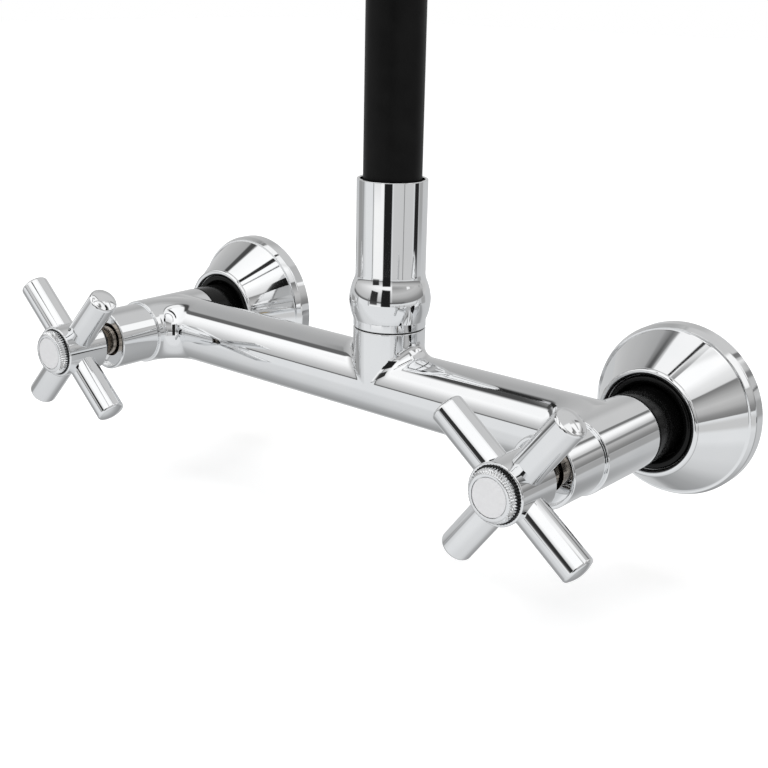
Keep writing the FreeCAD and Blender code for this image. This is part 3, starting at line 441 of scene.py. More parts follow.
def rough_casting():
    """Overlapping tubes, each made where it stands."""
    bm = bmesh.new()
    lie = Matrix.Rotation(math.radians(90), 4, "Y")
    point = Matrix.Rotation(math.radians(90), 4, "X")

    def rod(radius, length, middle, turn):
        bmesh.ops.create_cone(bm, cap_ends=True, segments=EVEN_STEPS, radius1=radius, radius2=radius,
                              depth=length, matrix=Matrix.Translation(middle) @ turn)

    rod(TUBE_RADIUS, 2 * INLET_X, (0, -BODY_STANDOFF, 0), lie)
    rod(NECK_RADIUS, NECK_TOP + SPARE, (COLUMN_X, -BODY_STANDOFF, (NECK_TOP + SPARE) / 2), Matrix())
    for sign in SIDES.values():
        middle = (CAST_REAR + CAST_FRONT + SPARE) / 2
        rod(TUBE_RADIUS, CAST_FRONT + SPARE - CAST_REAR, (sign * INLET_X, -middle, 0), point)
        start = Vector((sign * (INLET_X - BEND_RADIUS), -BODY_STANDOFF, 0))
        ring = bmesh.ops.create_circle(bm, cap_ends=True, segments=EVEN_STEPS,
                                       radius=TUBE_RADIUS - BEND_UNDERSIZE,
                                       matrix=Matrix.Translation(start) @ lie)["verts"]
        around = {part for v in ring for part in (*v.link_edges, *v.link_faces)}
        bmesh.ops.spin(bm, geom=ring + list(around), cent=start - Vector((0, BEND_RADIUS, 0)),
                       axis=(0, 0, 1), dvec=(0, 0, 0), angle=math.radians(-90 * sign), steps=24)
    bmesh.ops.recalc_face_normals(bm, faces=bm.faces)
    return bm


def remeshed(bm, voxel):
    """The evaluated result of a Remesh modifier, as a new bmesh."""
    mesh = bpy.data.meshes.new("rough")
    bm.to_mesh(mesh)
    bm.free()
    lump = bpy.data.objects.new("rough", mesh)
    bpy.context.scene.collection.objects.link(lump)
    remesh = lump.modifiers.new("clay", "REMESH")
    remesh.mode = "VOXEL"
    remesh.voxel_size = voxel
    bpy.context.view_layer.update()
    even = bpy.data.meshes.new_from_object(lump.evaluated_get(bpy.context.evaluated_depsgraph_get()))
    result = bmesh.new()
    result.from_mesh(even)
    bpy.data.objects.remove(lump)
    bpy.data.meshes.remove(even)
    return result


casting_bm = remeshed(rough_casting(), VOXEL)
print("rough casting:", len(casting_bm.verts), "points")

# %% [markdown]
# Settling moves every point along the way out by its gap, a few times over. Afterwards the
# three sawn ends are cut with Bisect, and the cut rims are extruded round a small edge, over
# the flat face and down into the bore.

# %% Settle the casting and machine its ends
END_EDGE = 0.35
NEAR_END = 1.6
VALVE_BORE = [(THREAD_RADIUS, 0), (THREAD_RADIUS, -10.0), (9.2, -10.0), (9.2, -19.9)]
NECK_BORE = [(9.0, 0), (9.0, 3.0 - NECK_TOP)]
ENDS = [((sign * INLET_X, -CAST_FRONT, 0), (0, -1, 0), TUBE_RADIUS, VALVE_BORE) for sign in SIDES.values()]
ENDS.append(((COLUMN_X, -BODY_STANDOFF, NECK_TOP), (0, 0, 1), NECK_RADIUS, NECK_BORE))


def settle(bm, rounds=6):
    """Moves every point on to the skin of the casting."""
    points = np.array([v.co for v in bm.verts])
    for _ in range(rounds):
        gap, way = casting_skin(points)
        points -= np.clip(gap, -2, 2)[:, None] * way
    for vert, place in zip(bm.verts, points):
        vert.co = place


def extruded(bm, ring):
    """Extrudes a ring of edges. Gives the new points, still in place, and the new ring."""
    out = bmesh.ops.extrude_edge_only(bm, edges=ring)["geom"]
    fresh = {g for g in out if isinstance(g, bmesh.types.BMVert)}
    return fresh, [e for e in out if isinstance(e, bmesh.types.BMEdge) and fresh.issuperset(e.verts)]


def machined_end(bm, centre, axis, radius, bore):
    """Cuts a tube square, rounds its edge and turns its bore, given as (radius, height) steps."""
    centre, axis = Vector(centre), Vector(axis)
    cut = centre - axis * END_EDGE
    near = [v for v in bm.verts if (v.co - centre).length < radius * NEAR_END]
    faces = {f for v in near for f in v.link_faces}
    edges = {e for f in faces for e in f.edges}
    verts = {v for f in faces for v in f.verts}
    bmesh.ops.bisect_plane(bm, geom=list(verts) + list(edges) + list(faces), dist=0.01, plane_co=cut,
                           plane_no=axis, clear_outer=True)
    rim = [e for e in bm.edges if e.is_boundary]
    quarter = [math.radians(90 * k / 4) for k in range(5)]
    places = [(radius - END_EDGE * (1 - math.cos(a)), -END_EDGE * (1 - math.sin(a)), 0) for a in quarter]
    places += [(r, h, 1) for r, h in bore]
    for r, h, flat in places:
        fresh, rim = extruded(bm, rim)
        for vert in fresh:
            away = vert.co - centre
            away -= axis * away.dot(axis)
            vert.co = centre + axis * h + away.normalized() * r
        for face in {f for v in fresh for f in v.link_faces}:
            face.material_index = flat
    floor = bmesh.ops.contextual_create(bm, geom=rim)["faces"]
    for face in floor:
        face.material_index = 1


settle(casting_bm)
for end in ENDS:
    machined_end(casting_bm, *end)
print("settled casting:", len(casting_bm.verts), "points")

# %% [markdown]
# The shading of the casting doesn't come from its small squares but from the skin itself: each
# corner takes the exact way out as its normal, so the reflections run without a ripple. Only
# the machined faces keep their own flat normals.

# %% Shade the casting from its skin
CLOSE = 0.01


def skin_normals(piece):
    """Gives each corner of the casting the way out of its skin as its normal."""
    mesh = piece.data
    points = np.array([v.co for v in mesh.vertices]) / MM
    way = casting_skin(points)[1]
    for centre, axis, radius, _ in ENDS:
        away = points - centre
        height = away @ np.array(axis)
        flat = away - np.outer(height, axis)
        length = np.linalg.norm(flat, axis=1)
        rim = (np.abs(height) < END_EDGE + CLOSE) & (length < radius + 1)
        rim &= length > radius - END_EDGE - CLOSE
        lean = np.clip((height + END_EDGE) / END_EDGE, 0, 1)
        outward = flat / np.maximum(length, 1e-6)[:, None] * np.sqrt(1 - lean ** 2)[:, None]
        way = np.where(rim[:, None], outward + lean[:, None] * np.array(axis), way)
    normals = []
    for face in mesh.polygons:
        for index in face.vertices:
            normals.append(face.normal if face.material_index else way[index])
    for face in mesh.polygons:
        face.material_index = 0
        face.use_smooth = True
    mesh.normals_split_custom_set(normals)


casting = finished("casting", casting_bm, chrome, even=False)
for edge in casting.data.edges:
    edge.use_edge_sharp = False
skin_normals(casting)
dress(casting, "mixer", "chrome", "body_casting")

# %% [markdown]
# ## Wall flanges
# Each flange is a spun cone with a rolled lip at its mouth and a raised rim at the wall. The
# rim's front slopes down to a fine groove, which draws a thin dark line round the cone's foot.
# Inside sits a black rubber ring whose rounded front steadies the cone. Both are lathe
# outlines, so they are turned.

# %% Wall flanges and rubber rings
RIM_RADIUS = 29.1
RUBBER_SLEEVE = 12.0
FLANGE = [
    (RIM_RADIUS, 0), (RIM_RADIUS, 4.3, 0.4), (28.15, 6.45, 0.1),
    *through((27.8, 6.5), (27.4, 6.55), (27.2, 6.85), 4), (17.95, 21.8),
    *through((18.1, 22.2), (17.25, 23.2), (16.15, 22.9), 10),
    (15.9, 22.4), (15.9, 21.4), (25.9, 5.6, 0.6), (28.0, 4.4, 0.4), (28.0, 0),
]
RUBBER_RING = [
    (9.62, 15.65), (18.9, 15.65, 0.5), (15.7, 20.8),
    *through((15.7, 21.1), (13.9, 22.65), (12.6, 21.1), 14),
    (12.6, 18.15, 0.3), (RUBBER_SLEEVE, 18.15, 0.3), (RUBBER_SLEEVE, CAST_REAR, 0.4),
    (10.62, CAST_REAR), (10.62, 31.7), (9.62, 31.7),
]
for side in SIDES:
    flange = finished(side + "_flange_cone", to_valve(turned(FLANGE), side), chrome)
    dress(flange, side + "_flange", "chrome", side + "_wall_flange")
    ring = finished(side + "_rubber_ring", to_valve(turned(RUBBER_RING), side), ring_black)
    dress(ring, "mixer", "black_rubber", side + "_flange_ring")

# %% [markdown]
# ## Collars
# The chrome collar hides the hexagon of the valve. Its dished front has a thin lip, and the
# nickel gland that comes out of it is the CAD headpart itself, which needs only its finish. A
# rounded rubber ring sits in its groove.

# %% Collars and gland rings
COLLAR_RADIUS = 11.25
DISH_DEPTH = 1.6
COLLAR_FLOOR = COLLAR_FRONT - DISH_DEPTH
COLLAR = [
    (THREAD_RADIUS, CAST_FRONT), (COLLAR_RADIUS, CAST_FRONT, 0.25), (COLLAR_RADIUS, COLLAR_FRONT, 0.5),
    (9.95, COLLAR_FRONT, 0.25), (9.95, COLLAR_FLOOR, 0.3), (6.3, COLLAR_FLOOR, 0.2), (6.3, 79.1),
    (THREAD_RADIUS, 79.1),
]
GLAND_RING = [(4.52, 85.17), (5.75, 85.17, 0.4), (5.75, 86.23, 0.4), (4.52, 86.23)]
for side in SIDES:
    collar = finished(side + "_collar", to_valve(turned(COLLAR), side), chrome)
    dress(collar, "mixer", "chrome", side + "_bonnet_collar")
    ring = finished(side + "_gland_seal", to_valve(turned(GLAND_RING), side), seal_black)
    dress(ring, "mixer", "seal_rubber", side + "_gland_ring")

# %% [markdown]
# ## Handles
# A handle is a turned hub with four round arms. The hub's front is bored, so that only a narrow
# rounded rim stands round the cap. An arm is a rod with a well rounded, domed end, which draws the
# room together into small bright shapes. One arm is turned and three copies are spun round.

# %% Hubs and arms
CAP_SEAT = 100.3
HUB = [
    (4.05, 91.5), (6.3, 91.5, 0.3), (6.3, HUB_REAR, 0.25), (HUB_RADIUS, HUB_REAR, 0.5),
    (HUB_RADIUS, HUB_FRONT, 0.45), (8.5, HUB_FRONT, 0.4), (8.57, CAP_SEAT, 0.4), (2.3, CAP_SEAT),
    (2.3, 97.8), (4.05, 97.8),
]
ARM_RADIUS = 5.15
ARM_PLACE = 97.55
ARM = [
    (0, 7.9), (ARM_RADIUS, 7.9), *through((ARM_RADIUS, 29.1), (4.93, 29.7), (4.3, 30.1), 8),
    *through((4.3, 30.1), (2.3, 30.75), (0, 31.0), 12)[1:],
]


def handle_arms():
    """Four arms in a cross, set at 45 degrees."""
    bm = turned(ARM, closed=False, steps=96)
    lie = Matrix.Rotation(math.radians(45), 4, "Z") @ Matrix.Rotation(math.radians(90), 4, "Y")
    bmesh.ops.transform(bm, matrix=Matrix.Translation((0, 0, ARM_PLACE)) @ lie, verts=bm.verts)
    bmesh.ops.spin(bm, geom=bm.verts[:] + bm.edges[:] + bm.faces[:], cent=(0, 0, 0), axis=(0, 0, 1),
                   dvec=(0, 0, 0), angle=math.radians(270), steps=3, use_duplicate=True)
    return bm


for side, turn in HANDLE_TURNS.items():
    hub = finished(side + "_hub", to_valve(turned(HUB), side), chrome)
    dress(hub, side + "_handle", "chrome", side + "_handle_hub")
    arms = finished(side + "_arms", to_valve(handle_arms(), side, turn), chrome)
    dress(arms, side + "_handle", "chrome", side + "_handle_arms")

# %% [markdown]
# ## Index caps
# The cap screws into the hub and is gripped by a fine straight knurl on its rounded shoulder. So
# the cap is turned with four steps to a tooth, and the points of the knurled band are pressed in
# by none, half, all and half of the depth, which leaves plain V grooves that run out towards the
# face. A black ring in the gap round the cap paints the shade of that gap, and its thin collar
# shows in the bottoms of the grooves as painted shade. The disc in the face is satin metal in a
# thin dark groove.

# %% Knurled caps and plain discs
KNURL_TEETH = 52
KNURL_DEPTH = 0.5
KNURL_REAR = 103.8
KNURL_FOOT = 6.95
CAP_RADIUS = 8.05
CAP_FACE = 108.2
DISC_SEAT = 107.4
CAP = [
    (0, CAP_SEAT), (8.52, CAP_SEAT), (8.52, 103.3, 0.3), (CAP_RADIUS, 103.3), (CAP_RADIUS, 103.9),
    (CAP_RADIUS, 106.2), *through((8.0, 106.4), (7.7, 107.35), (KNURL_FOOT, 108.1), 6),
    (6.75, CAP_FACE), (5.95, CAP_FACE, 0.12), (5.95, DISC_SEAT), (0, DISC_SEAT),
]
# A black ring and collar that paint the shade in the gap round the cap and in the bottoms of the knurl's
# grooves.
CAP_SHADE_RING = [
    (7.4, 103.35), (8.55, 103.35), (8.55, 104.6, 0.2), (7.78, 104.6), (7.78, 106.0), (7.4, 106.0),
]
DISC = [(0, DISC_SEAT), (5.8, DISC_SEAT), (5.8, 108.12, 0.2), (0, 108.12)]


def knurled_cap():
    """A turned cap with its knurl pressed in."""
    bm = turned(CAP, closed=False, steps=4 * KNURL_TEETH)
    for vert in bm.verts:
        step = round(math.atan2(vert.co.y, vert.co.x) / math.tau * 4 * KNURL_TEETH) % 4
        reach = math.hypot(vert.co.x, vert.co.y)
        if reach > KNURL_FOOT and vert.co.z > KNURL_REAR:
            press = (0.0, 0.5, 1.0, 0.5)[step] * min(KNURL_DEPTH, reach - KNURL_FOOT)
            vert.co.x *= 1 - press / reach
            vert.co.y *= 1 - press / reach
    return bm


for side, turn in HANDLE_TURNS.items():
    cap = finished(side + "_cap", to_valve(knurled_cap(), side, turn), chrome, even=False)
    dress(cap, side + "_handle", "chrome", side + "_index_cap")
    disc = finished(side + "_disc", to_valve(turned(DISC, closed=False), side), satin)
    dress(disc, side + "_handle", "satin_disc", side + "_index_disc")
    # The black ring paints shade in the cap's gap and in its grooves, and rides on the handle.
    seal = finished(side + "_cap_shade_ring", to_valve(turned(CAP_SHADE_RING), side), seal_black)
    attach(seal, side + "_handle")

# %% [markdown]
# ## Spout base
# The bulb swells softly and runs into the straight sleeve, so its outline is a chain of arcs
# that meet without a corner. The sleeve is a thin cup: between it and the hose stays a dark gap.
# Under the bulb lies a thin trim ring that is as wide as the neck.

# %% Bulb, sleeve and trim ring
TRIM_BOTTOM = 20.7
BULB_BOTTOM = 23.5
BULB_WIDEST = 30.4
SLEEVE_TOP = 71.0
SLEEVE_FLOOR = 44.0
SLEEVE_RADIUS = 11.93
STEM_HOLE = 8.05
SPOUT_BASE = [
    *through((12.6, BULB_BOTTOM), (13.53, 26.54), (14.0, BULB_WIDEST), 14),
    *through((14.0, BULB_WIDEST), (13.42, 33.83), (12.45, 36.64), 14)[1:],
    *through((12.45, 36.64), (12.05, 38.04), (SLEEVE_RADIUS, 39.76), 8)[1:],
    (SLEEVE_RADIUS, SLEEVE_TOP, 0.3), (SLEEVE_RADIUS - 1, SLEEVE_TOP, 0.25),
    (SLEEVE_RADIUS - 1, SLEEVE_FLOOR), (STEM_HOLE, SLEEVE_FLOOR), (STEM_HOLE, BULB_BOTTOM),
]
TRIM_TOP = BULB_BOTTOM - 0.02
TRIM = [
    (STEM_HOLE, TRIM_BOTTOM), (NECK_RADIUS, TRIM_BOTTOM, 0.2), (NECK_RADIUS, TRIM_TOP, 0.25),
    (STEM_HOLE, TRIM_TOP),
]
base = finished("bulb_and_sleeve", to_column(turned(SPOUT_BASE)), chrome)
dress(base, "spout", "chrome", "spout_base")
trim = finished("trim", to_column(turned(TRIM)), chrome)
dress(trim, "spout", "chrome", "trim_ring")

# %% [markdown]
# At the back of the neck a small grub screw keeps the spout in. It is turned like the rest, and
# the points of its socket are then pulled from a circle to a hexagon.

# %% Grub screw
CATCH_HEIGHT = 16.6
SOCKET = 1.0
GRUB_SCREW = [
    (0, 11.3), (SOCKET, 11.3), (SOCKET, 12.6, 0.08), (1.95, 12.6, 0.15), (1.95, 10.9), (0, 10.9),
]
bm = turned(GRUB_SCREW, closed=False, steps=72)
for vert in bm.verts:
    reach = math.hypot(vert.co.x, vert.co.y)
    if SOCKET / 2 < reach < SOCKET + 0.02:
        corner = (math.atan2(vert.co.y, vert.co.x) + math.pi / 6) % (math.pi / 3) - math.pi / 6
        vert.co.x /= math.cos(corner)
        vert.co.y /= math.cos(corner)
back = Matrix.Translation((0, 0, CATCH_HEIGHT)) @ Matrix.Rotation(math.radians(-90), 4, "X")
bmesh.ops.transform(bm, matrix=back, verts=bm.verts)
screw = finished("grub_screw", to_column(bm), steel)
dress(screw, "mixer", slot_of["catch_screw"], "catch_screw")

# %% [markdown]
# ## Flexible hose
# The hose is one long tube of even thickness: straight up, half a turn forward, and down into
# the nozzle. It is extruded in short, even steps and spun from a ring of points, and it is cut
# at the top of the arch into two halves. The lowest stretch is a piece of its own: the real hose
# leans away higher up, so only this stretch is let into the plating's reflections.

# %% Helpers for the hose
HOSE_RADIUS = 9.9
HOSE_START = 46.0
HOSE_FOOT_TOP = 108.0
ARCH_HEIGHT = 212.0
ARCH_RADIUS = 85.0
TAIL_END = 170.0
HOSE_STEPS = 72
NOZZLE_FORWARD = BODY_STANDOFF + 2 * ARCH_RADIUS
# Where the hose starts and ends to bend over, at the riser and at the nozzle
RISER_BEND = (173.0, 223.0)
NOZZLE_BEND = (207.0, 184.0)


def straight_hose(bottom, top, steps, forward=BODY_STANDOFF):
    """An upright run of hose, made in even steps, and the ring of edges at its top."""
    bm = bmesh.new()
    bmesh.ops.create_circle(bm, cap_ends=False, segments=HOSE_STEPS, radius=HOSE_RADIUS,
                            matrix=Matrix.Translation((COLUMN_X, -forward, bottom)))
    ring = bm.edges[:]
    for _ in range(steps):
        fresh, ring = extruded(bm, ring)
        bmesh.ops.translate(bm, vec=(0, 0, (top - bottom) / steps), verts=list(fresh))
    return bm, ring


def hose_half(bottom, steps, forward, quarter):
    """One half of the hose: an upright run and a quarter of the arch."""
    bm, ring = straight_hose(bottom, ARCH_HEIGHT, steps, forward)
    verts = list({v for e in ring for v in e.verts})
    bmesh.ops.spin(bm, geom=verts + ring, cent=(COLUMN_X, -BODY_STANDOFF - ARCH_RADIUS, ARCH_HEIGHT),
                   axis=(1, 0, 0), dvec=(0, 0, 0), angle=math.radians(quarter), steps=40)
    return bm


def bend_points(heights, forward):
    """The two points in metres where the hose starts and ends to bend over."""
    return [(COLUMN_X * MM, -forward * MM, height * MM) for height in heights]


# %% [markdown]
# The foot rides on the spout alone. For each half the two points where it starts and ends to
# bend over are worked out, and its place is baked into its mesh.

# %% Hose in three pieces
foot = finished("hose_foot", straight_hose(HOSE_START, HOSE_FOOT_TOP, 8)[0], hose_black, even=False)
dress(foot, "spout", "hose", "hose_riser")
rise = finished("hose_rise", hose_half(HOSE_FOOT_TOP, 52, BODY_STANDOFF, 90), hose_black, even=False)
start, end = bend_points(RISER_BEND, BODY_STANDOFF)
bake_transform(rise)
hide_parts("hose_riser", "hose_arch")
fall = finished("hose_fall", hose_half(TAIL_END, 28, NOZZLE_FORWARD, -90), hose_black, even=False)
start, end = bend_points(NOZZLE_BEND, NOZZLE_FORWARD)
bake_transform(fall)
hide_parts("hose_tail", "hose_arch")
for piece in (rise, fall):
    piece.visible_glossy = False
print("hose halves:", len(rise.data.polygons), len(fall.data.polygons), "faces")

# %% [markdown]
# ## Nozzle
# The end of the spout is a chrome sleeve with a screwed ring that holds the aerator. Nothing of
# it is in the photograph's frame, so it follows the usual form of such a spout.

# %% Nozzle and aerator ring
NOZZLE = [
    (12.0, 148.0, 1.2), (12.0, 182.0, 1.0), (9.95, 182.0, 0.3), (9.95, 170.0), (5.5, 170.0), (5.5, 167.0),
    (10.45, 167.0), (10.45, 148.0, 0.3),
]
AERATOR_RING = [
    (8.4, 160.0), (10.4, 160.0), (10.4, 146.0, 0.5), (7.2, 146.0, 0.3), (7.2, 147.0, 0.2), (8.4, 147.0),
]
nozzle = finished("nozzle_sleeve", to_column(turned(NOZZLE), NOZZLE_FORWARD), chrome)
dress(nozzle, "nozzle", "chrome", "nozzle_body")
ring = finished("aerator_collar", to_column(turned(AERATOR_RING), NOZZLE_FORWARD), chrome)
dress(ring, "nozzle", "chrome", "aerator_ring")

# %% [markdown]
# ## Studio
# The photograph was lit from big white panels overhead, between pale walls, on a pale floor. The
# world paints that room: an even light for the shading, plain white for the camera, and for
# reflections the panels with the dark gaps between them, the walls, the floor and a few dark
# boards, which give chrome its contrast. A real floor under the mixer keeps its soft shadow.

# %% Helpers for the world
world = bpy.data.worlds.new("studio")
bpy.context.scene.world = world
world.use_nodes = True
sky = world.node_tree
sky.nodes.clear()


def calc(operation, first, second=0.0, third=0.0):
    """A math node on sockets or plain numbers."""
    node = sky.nodes.new("ShaderNodeMath")
    node.operation = operation
    for socket, value in zip(node.inputs, (first, second, third)):
        if isinstance(value, (int, float)):
            socket.default_value = value
        else:
            sky.links.new(value, socket)
    return node.outputs[0]


def fade(value, off, on):
    """A smooth step from 0 at off to 1 at on."""
    node = sky.nodes.new("ShaderNodeMapRange")
    node.interpolation_type = "SMOOTHSTEP"
    node.inputs["From Min"].default_value = off
    node.inputs["From Max"].default_value = on
    sky.links.new(value, node.inputs["Value"])
    return node.outputs["Result"]


def over(under, colour, mask):
    """Paints a colour or another painting over what is there, where the mask is 1."""
    node = sky.nodes.new("ShaderNodeMix")
    node.data_type = "RGBA"
    sky.links.new(mask, node.inputs["Factor"])
    sky.links.new(under, node.inputs[6])
    if isinstance(colour, tuple):
        node.inputs[7].default_value = (*colour, 1.0)
    else:
        sky.links.new(colour, node.inputs[7])
    return node.outputs[2]


# %% [markdown]
# The room is a function of the direction alone. A tone is written as it should look on the
# plating, so it is turned into light and divided by the share that chrome throws back. A run of
# tones is a colour ramp over a height or a slope. For overhead shapes, across and depth are the
# place where the direction meets a ceiling one unit up, as a draughtsman would plot it.

# %% Tones and directions
PLATE = 0.87
HORIZON = 0.02
place = sky.nodes.new("ShaderNodeTexCoord")
split = sky.nodes.new("ShaderNodeSeparateXYZ")
sky.links.new(place.outputs["Generated"], split.inputs["Vector"])
east, north, up = split.outputs
steep = calc("MAXIMUM", calc("ABSOLUTE", up), HORIZON)
across = calc("DIVIDE", east, steep)
depth = calc("DIVIDE", north, steep)


def tone(seen, warmth=0.0):
    """The light that chrome shows as the given tone, faintly warm or cold."""
    light = ((seen + 0.055) / 1.055) ** 2.4 / PLATE
    return (light * (1 + warmth), light, light * (1 - warmth))


def tones(value, stops, warmth=0.0):
    """A colour ramp over a value, from (value, tone) stops."""
    first, last = stops[0][0], stops[-1][0]
    reach = sky.nodes.new("ShaderNodeMapRange")
    reach.inputs["From Min"].default_value = first
    reach.inputs["From Max"].default_value = last
    sky.links.new(value, reach.inputs["Value"])
    node = sky.nodes.new("ShaderNodeValToRGB")
    sky.links.new(reach.outputs["Result"], node.inputs["Fac"])
    while len(node.color_ramp.elements) < len(stops):
        node.color_ramp.elements.new(0.5)
    for element, (where, seen) in zip(node.color_ramp.elements, stops):
        element.position = (where - first) / (last - first)
        element.color = (*tone(seen, warmth), 1.0)
    return node.outputs["Color"]


# %% [markdown]
# A mask is 1 where a thing is seen and 0 elsewhere, with a soft edge. A screen stands upright at
# a compass bearing and a plot is a rectangle on the ceiling. Painting lays one named thing over
# the other, so the last one hides what is behind it.

# %% Masks
def between(value, low, high, soft):
    """1 from low to high and 0 outside, with soft edges."""
    return calc("MULTIPLY", fade(value, low - soft, low + soft), fade(value, high + soft, high - soft))


def bearing(azimuth):
    """The angle in radians between a direction and a compass bearing."""
    a = math.radians(azimuth)
    ahead = calc("ADD", calc("MULTIPLY", east, math.cos(a)), calc("MULTIPLY", north, math.sin(a)))
    aside = calc("SUBTRACT", calc("MULTIPLY", north, math.cos(a)), calc("MULTIPLY", east, math.sin(a)))
    return calc("ABSOLUTE", calc("ARCTAN2", aside, ahead))


def screen(azimuth, half, low, high, soft=2.0, soft_height=0.02):
    """The mask of a screen of the given half width in degrees, between two heights."""
    width = fade(bearing(azimuth), math.radians(half + soft), math.radians(half - soft))
    return calc("MULTIPLY", width, between(up, low, high, soft_height))


def plot(width, length):
    """The mask of a rectangle on the ceiling. Each span is from, to and the softness."""
    return calc("MULTIPLY", between(across, *width), between(depth, *length))


def aslant(slope):
    """How deep a direction meets the ceiling behind a slanting line."""
    return calc("SUBTRACT", depth, calc("MULTIPLY", across, slope))


def where_all(*masks):
    """Where all the masks are 1."""
    result = masks[0]
    for mask in masks[1:]:
        result = calc("MULTIPLY", result, mask)
    return result


def painted(under, things):
    """Paints named things, each a colour and a mask, one over the other."""
    for colour, mask in things.values():
        under = over(under, colour, mask)
    print("painted:", ", ".join(things))
    return under


# %% [markdown]
# The walls come first. The back wall and the ceiling over it are grey, the front wall gets
# lighter towards the top, and the right wall has a dark top and foot. A dark border runs along
# the slanting edge where the front panel will hang, and a dark strip lies before the front wall.

# %% Walls
BACK_WALL = [(0, 0.76), (0.1, 0.74), (0.3, 0.71), (0.5, 0.69), (0.66, 0.66), (0.8, 0.63), (1, 0.62)]
FRONT_WALL = [(0, 0.70), (0.1, 0.72), (0.2, 0.77), (0.33, 0.85), (0.45, 0.94), (0.55, 0.99), (1, 1)]
RIGHT_WALL = [(0, 0.46), (0.1, 0.54), (0.2, 0.68), (0.33, 0.74), (0.45, 0.66), (0.58, 0.48), (1, 0.45)]
FRONT_EDGE = -0.43
PANEL_EDGE = -0.62
PANEL_SLANT = 0.62
inward = calc("SUBTRACT", across, calc("MULTIPLY_ADD", depth, PANEL_SLANT, PANEL_EDGE))
front_strip = where_all(between(depth, FRONT_EDGE, -0.13, 0.06), fade(inward, 0.0, -0.04))
room = painted(tones(up, BACK_WALL), {
    "border of the front panel": (tone(0.36), between(inward, -0.1, -0.01, 0.03)),
    "strip before the front wall": (tone(0.38), front_strip),
    "front wall": (tones(up, FRONT_WALL), fade(depth, FRONT_EDGE + 0.05, FRONT_EDGE - 0.05)),
    "right wall": (tones(up, RIGHT_WALL, 0.006), screen(8, 52, 0.0, 2.0)),
})

# %% [markdown]
# Behind the mixer two white panels hang at the right, one beyond the other, on a pale field.
# A grey rail crosses the farther one. Their edges and the rail draw the bands on the wall
# flanges.

# %% Panels behind
SECOND_SLANT = 0.75
RAIL_SLANT = 0.62
behind = where_all(fade(depth, 0.03, 0.09), fade(up, 0.3, 0.45))
field = where_all(behind, fade(across, -0.8, -0.2), fade(across, 0.8, 0.5))
groove = where_all(behind, between(across, 0.38, 0.54, 0.03), fade(depth, 1.25, 1.45))
farther = where_all(behind, between(across, 0.62, 1.65, 0.06), fade(aslant(SECOND_SLANT), -0.05, 0.1))
rail = where_all(behind, between(aslant(RAIL_SLANT), 0.66, 0.9, 0.05), between(across, 0.4, 1.3, 0.06))
room = painted(room, {
    "pale field": (tone(0.77), field),
    "groove in the field": (tone(0.45), groove),
    "farther panel": (tone(0.98), farther),
    "rail": (tone(0.7), rail),
    "foot of the panel": (tone(0.5), screen(60, 10, 0.25, 0.31, 3.0, 0.015)),
    "nearer panel": (tone(0.96), where_all(behind, plot((0.52, 2.3, 0.05), (0.16, 0.62, 0.03)))),
})

# %% [markdown]
# Straight overhead hang the front panel and a small one behind it. The dark gap in the front
# panel, the joint between the two, a beam and a girder draw the thin lines along the tubes, and
# a dark skirting runs along the front at the horizon.

# %% Panels overhead
PANEL = [(-0.6, 0.97), (0, 1.0), (0.6, 1.0), (0.9, 0.9), (1.3, 0.84)]
PANEL_END = 1.3
PANEL_BACK = 0.0
JOINT_SLANT = 0.48
overhead = fade(up, 0.5, 0.6)
front = where_all(overhead, fade(inward, -0.02, 0.03), fade(depth, PANEL_BACK + 0.02, PANEL_BACK - 0.02),
                  fade(across, PANEL_END + 0.04, PANEL_END - 0.04))
joint = where_all(overhead, between(aslant(JOINT_SLANT), -0.008, 0.032, 0.006),
                  between(across, -0.05, 0.12, 0.02))
room = painted(room, {
    "small panel": (tone(0.96), where_all(overhead, plot((-0.47, 0.6, 0.04), (PANEL_BACK, 0.17, 0.015)))),
    "beam": (tone(0.5), where_all(overhead, plot((-0.75, 0.3, 0.06), (0.17, 0.215, 0.012)))),
    "front panel": (tones(across, PANEL), front),
    "gap": (tone(0.18), plot((0.075, 0.19, 0.012), (-0.9, PANEL_BACK, 0.05))),
    "girder": (tone(0.28), where_all(overhead, plot((-0.83, -0.57, 0.06), (-0.36, 0.24, 0.1)))),
    "joint": (tone(0.15), joint),
    "skirting": (tone(0.36), screen(-92, 84, -0.012, 0.05, 4.0, 0.03)),
})

# %% [markdown]
# The floor is light in front and to the right and darker behind and to the left, so its tone
# runs over a slanting line. Last come the things that stand about. The boards in front, white
# below and black above, draw the strong dark bands on the sleeve and the arms. Two thin posts
# draw finer lines, and a door, a pale board and two boxes stand further round.

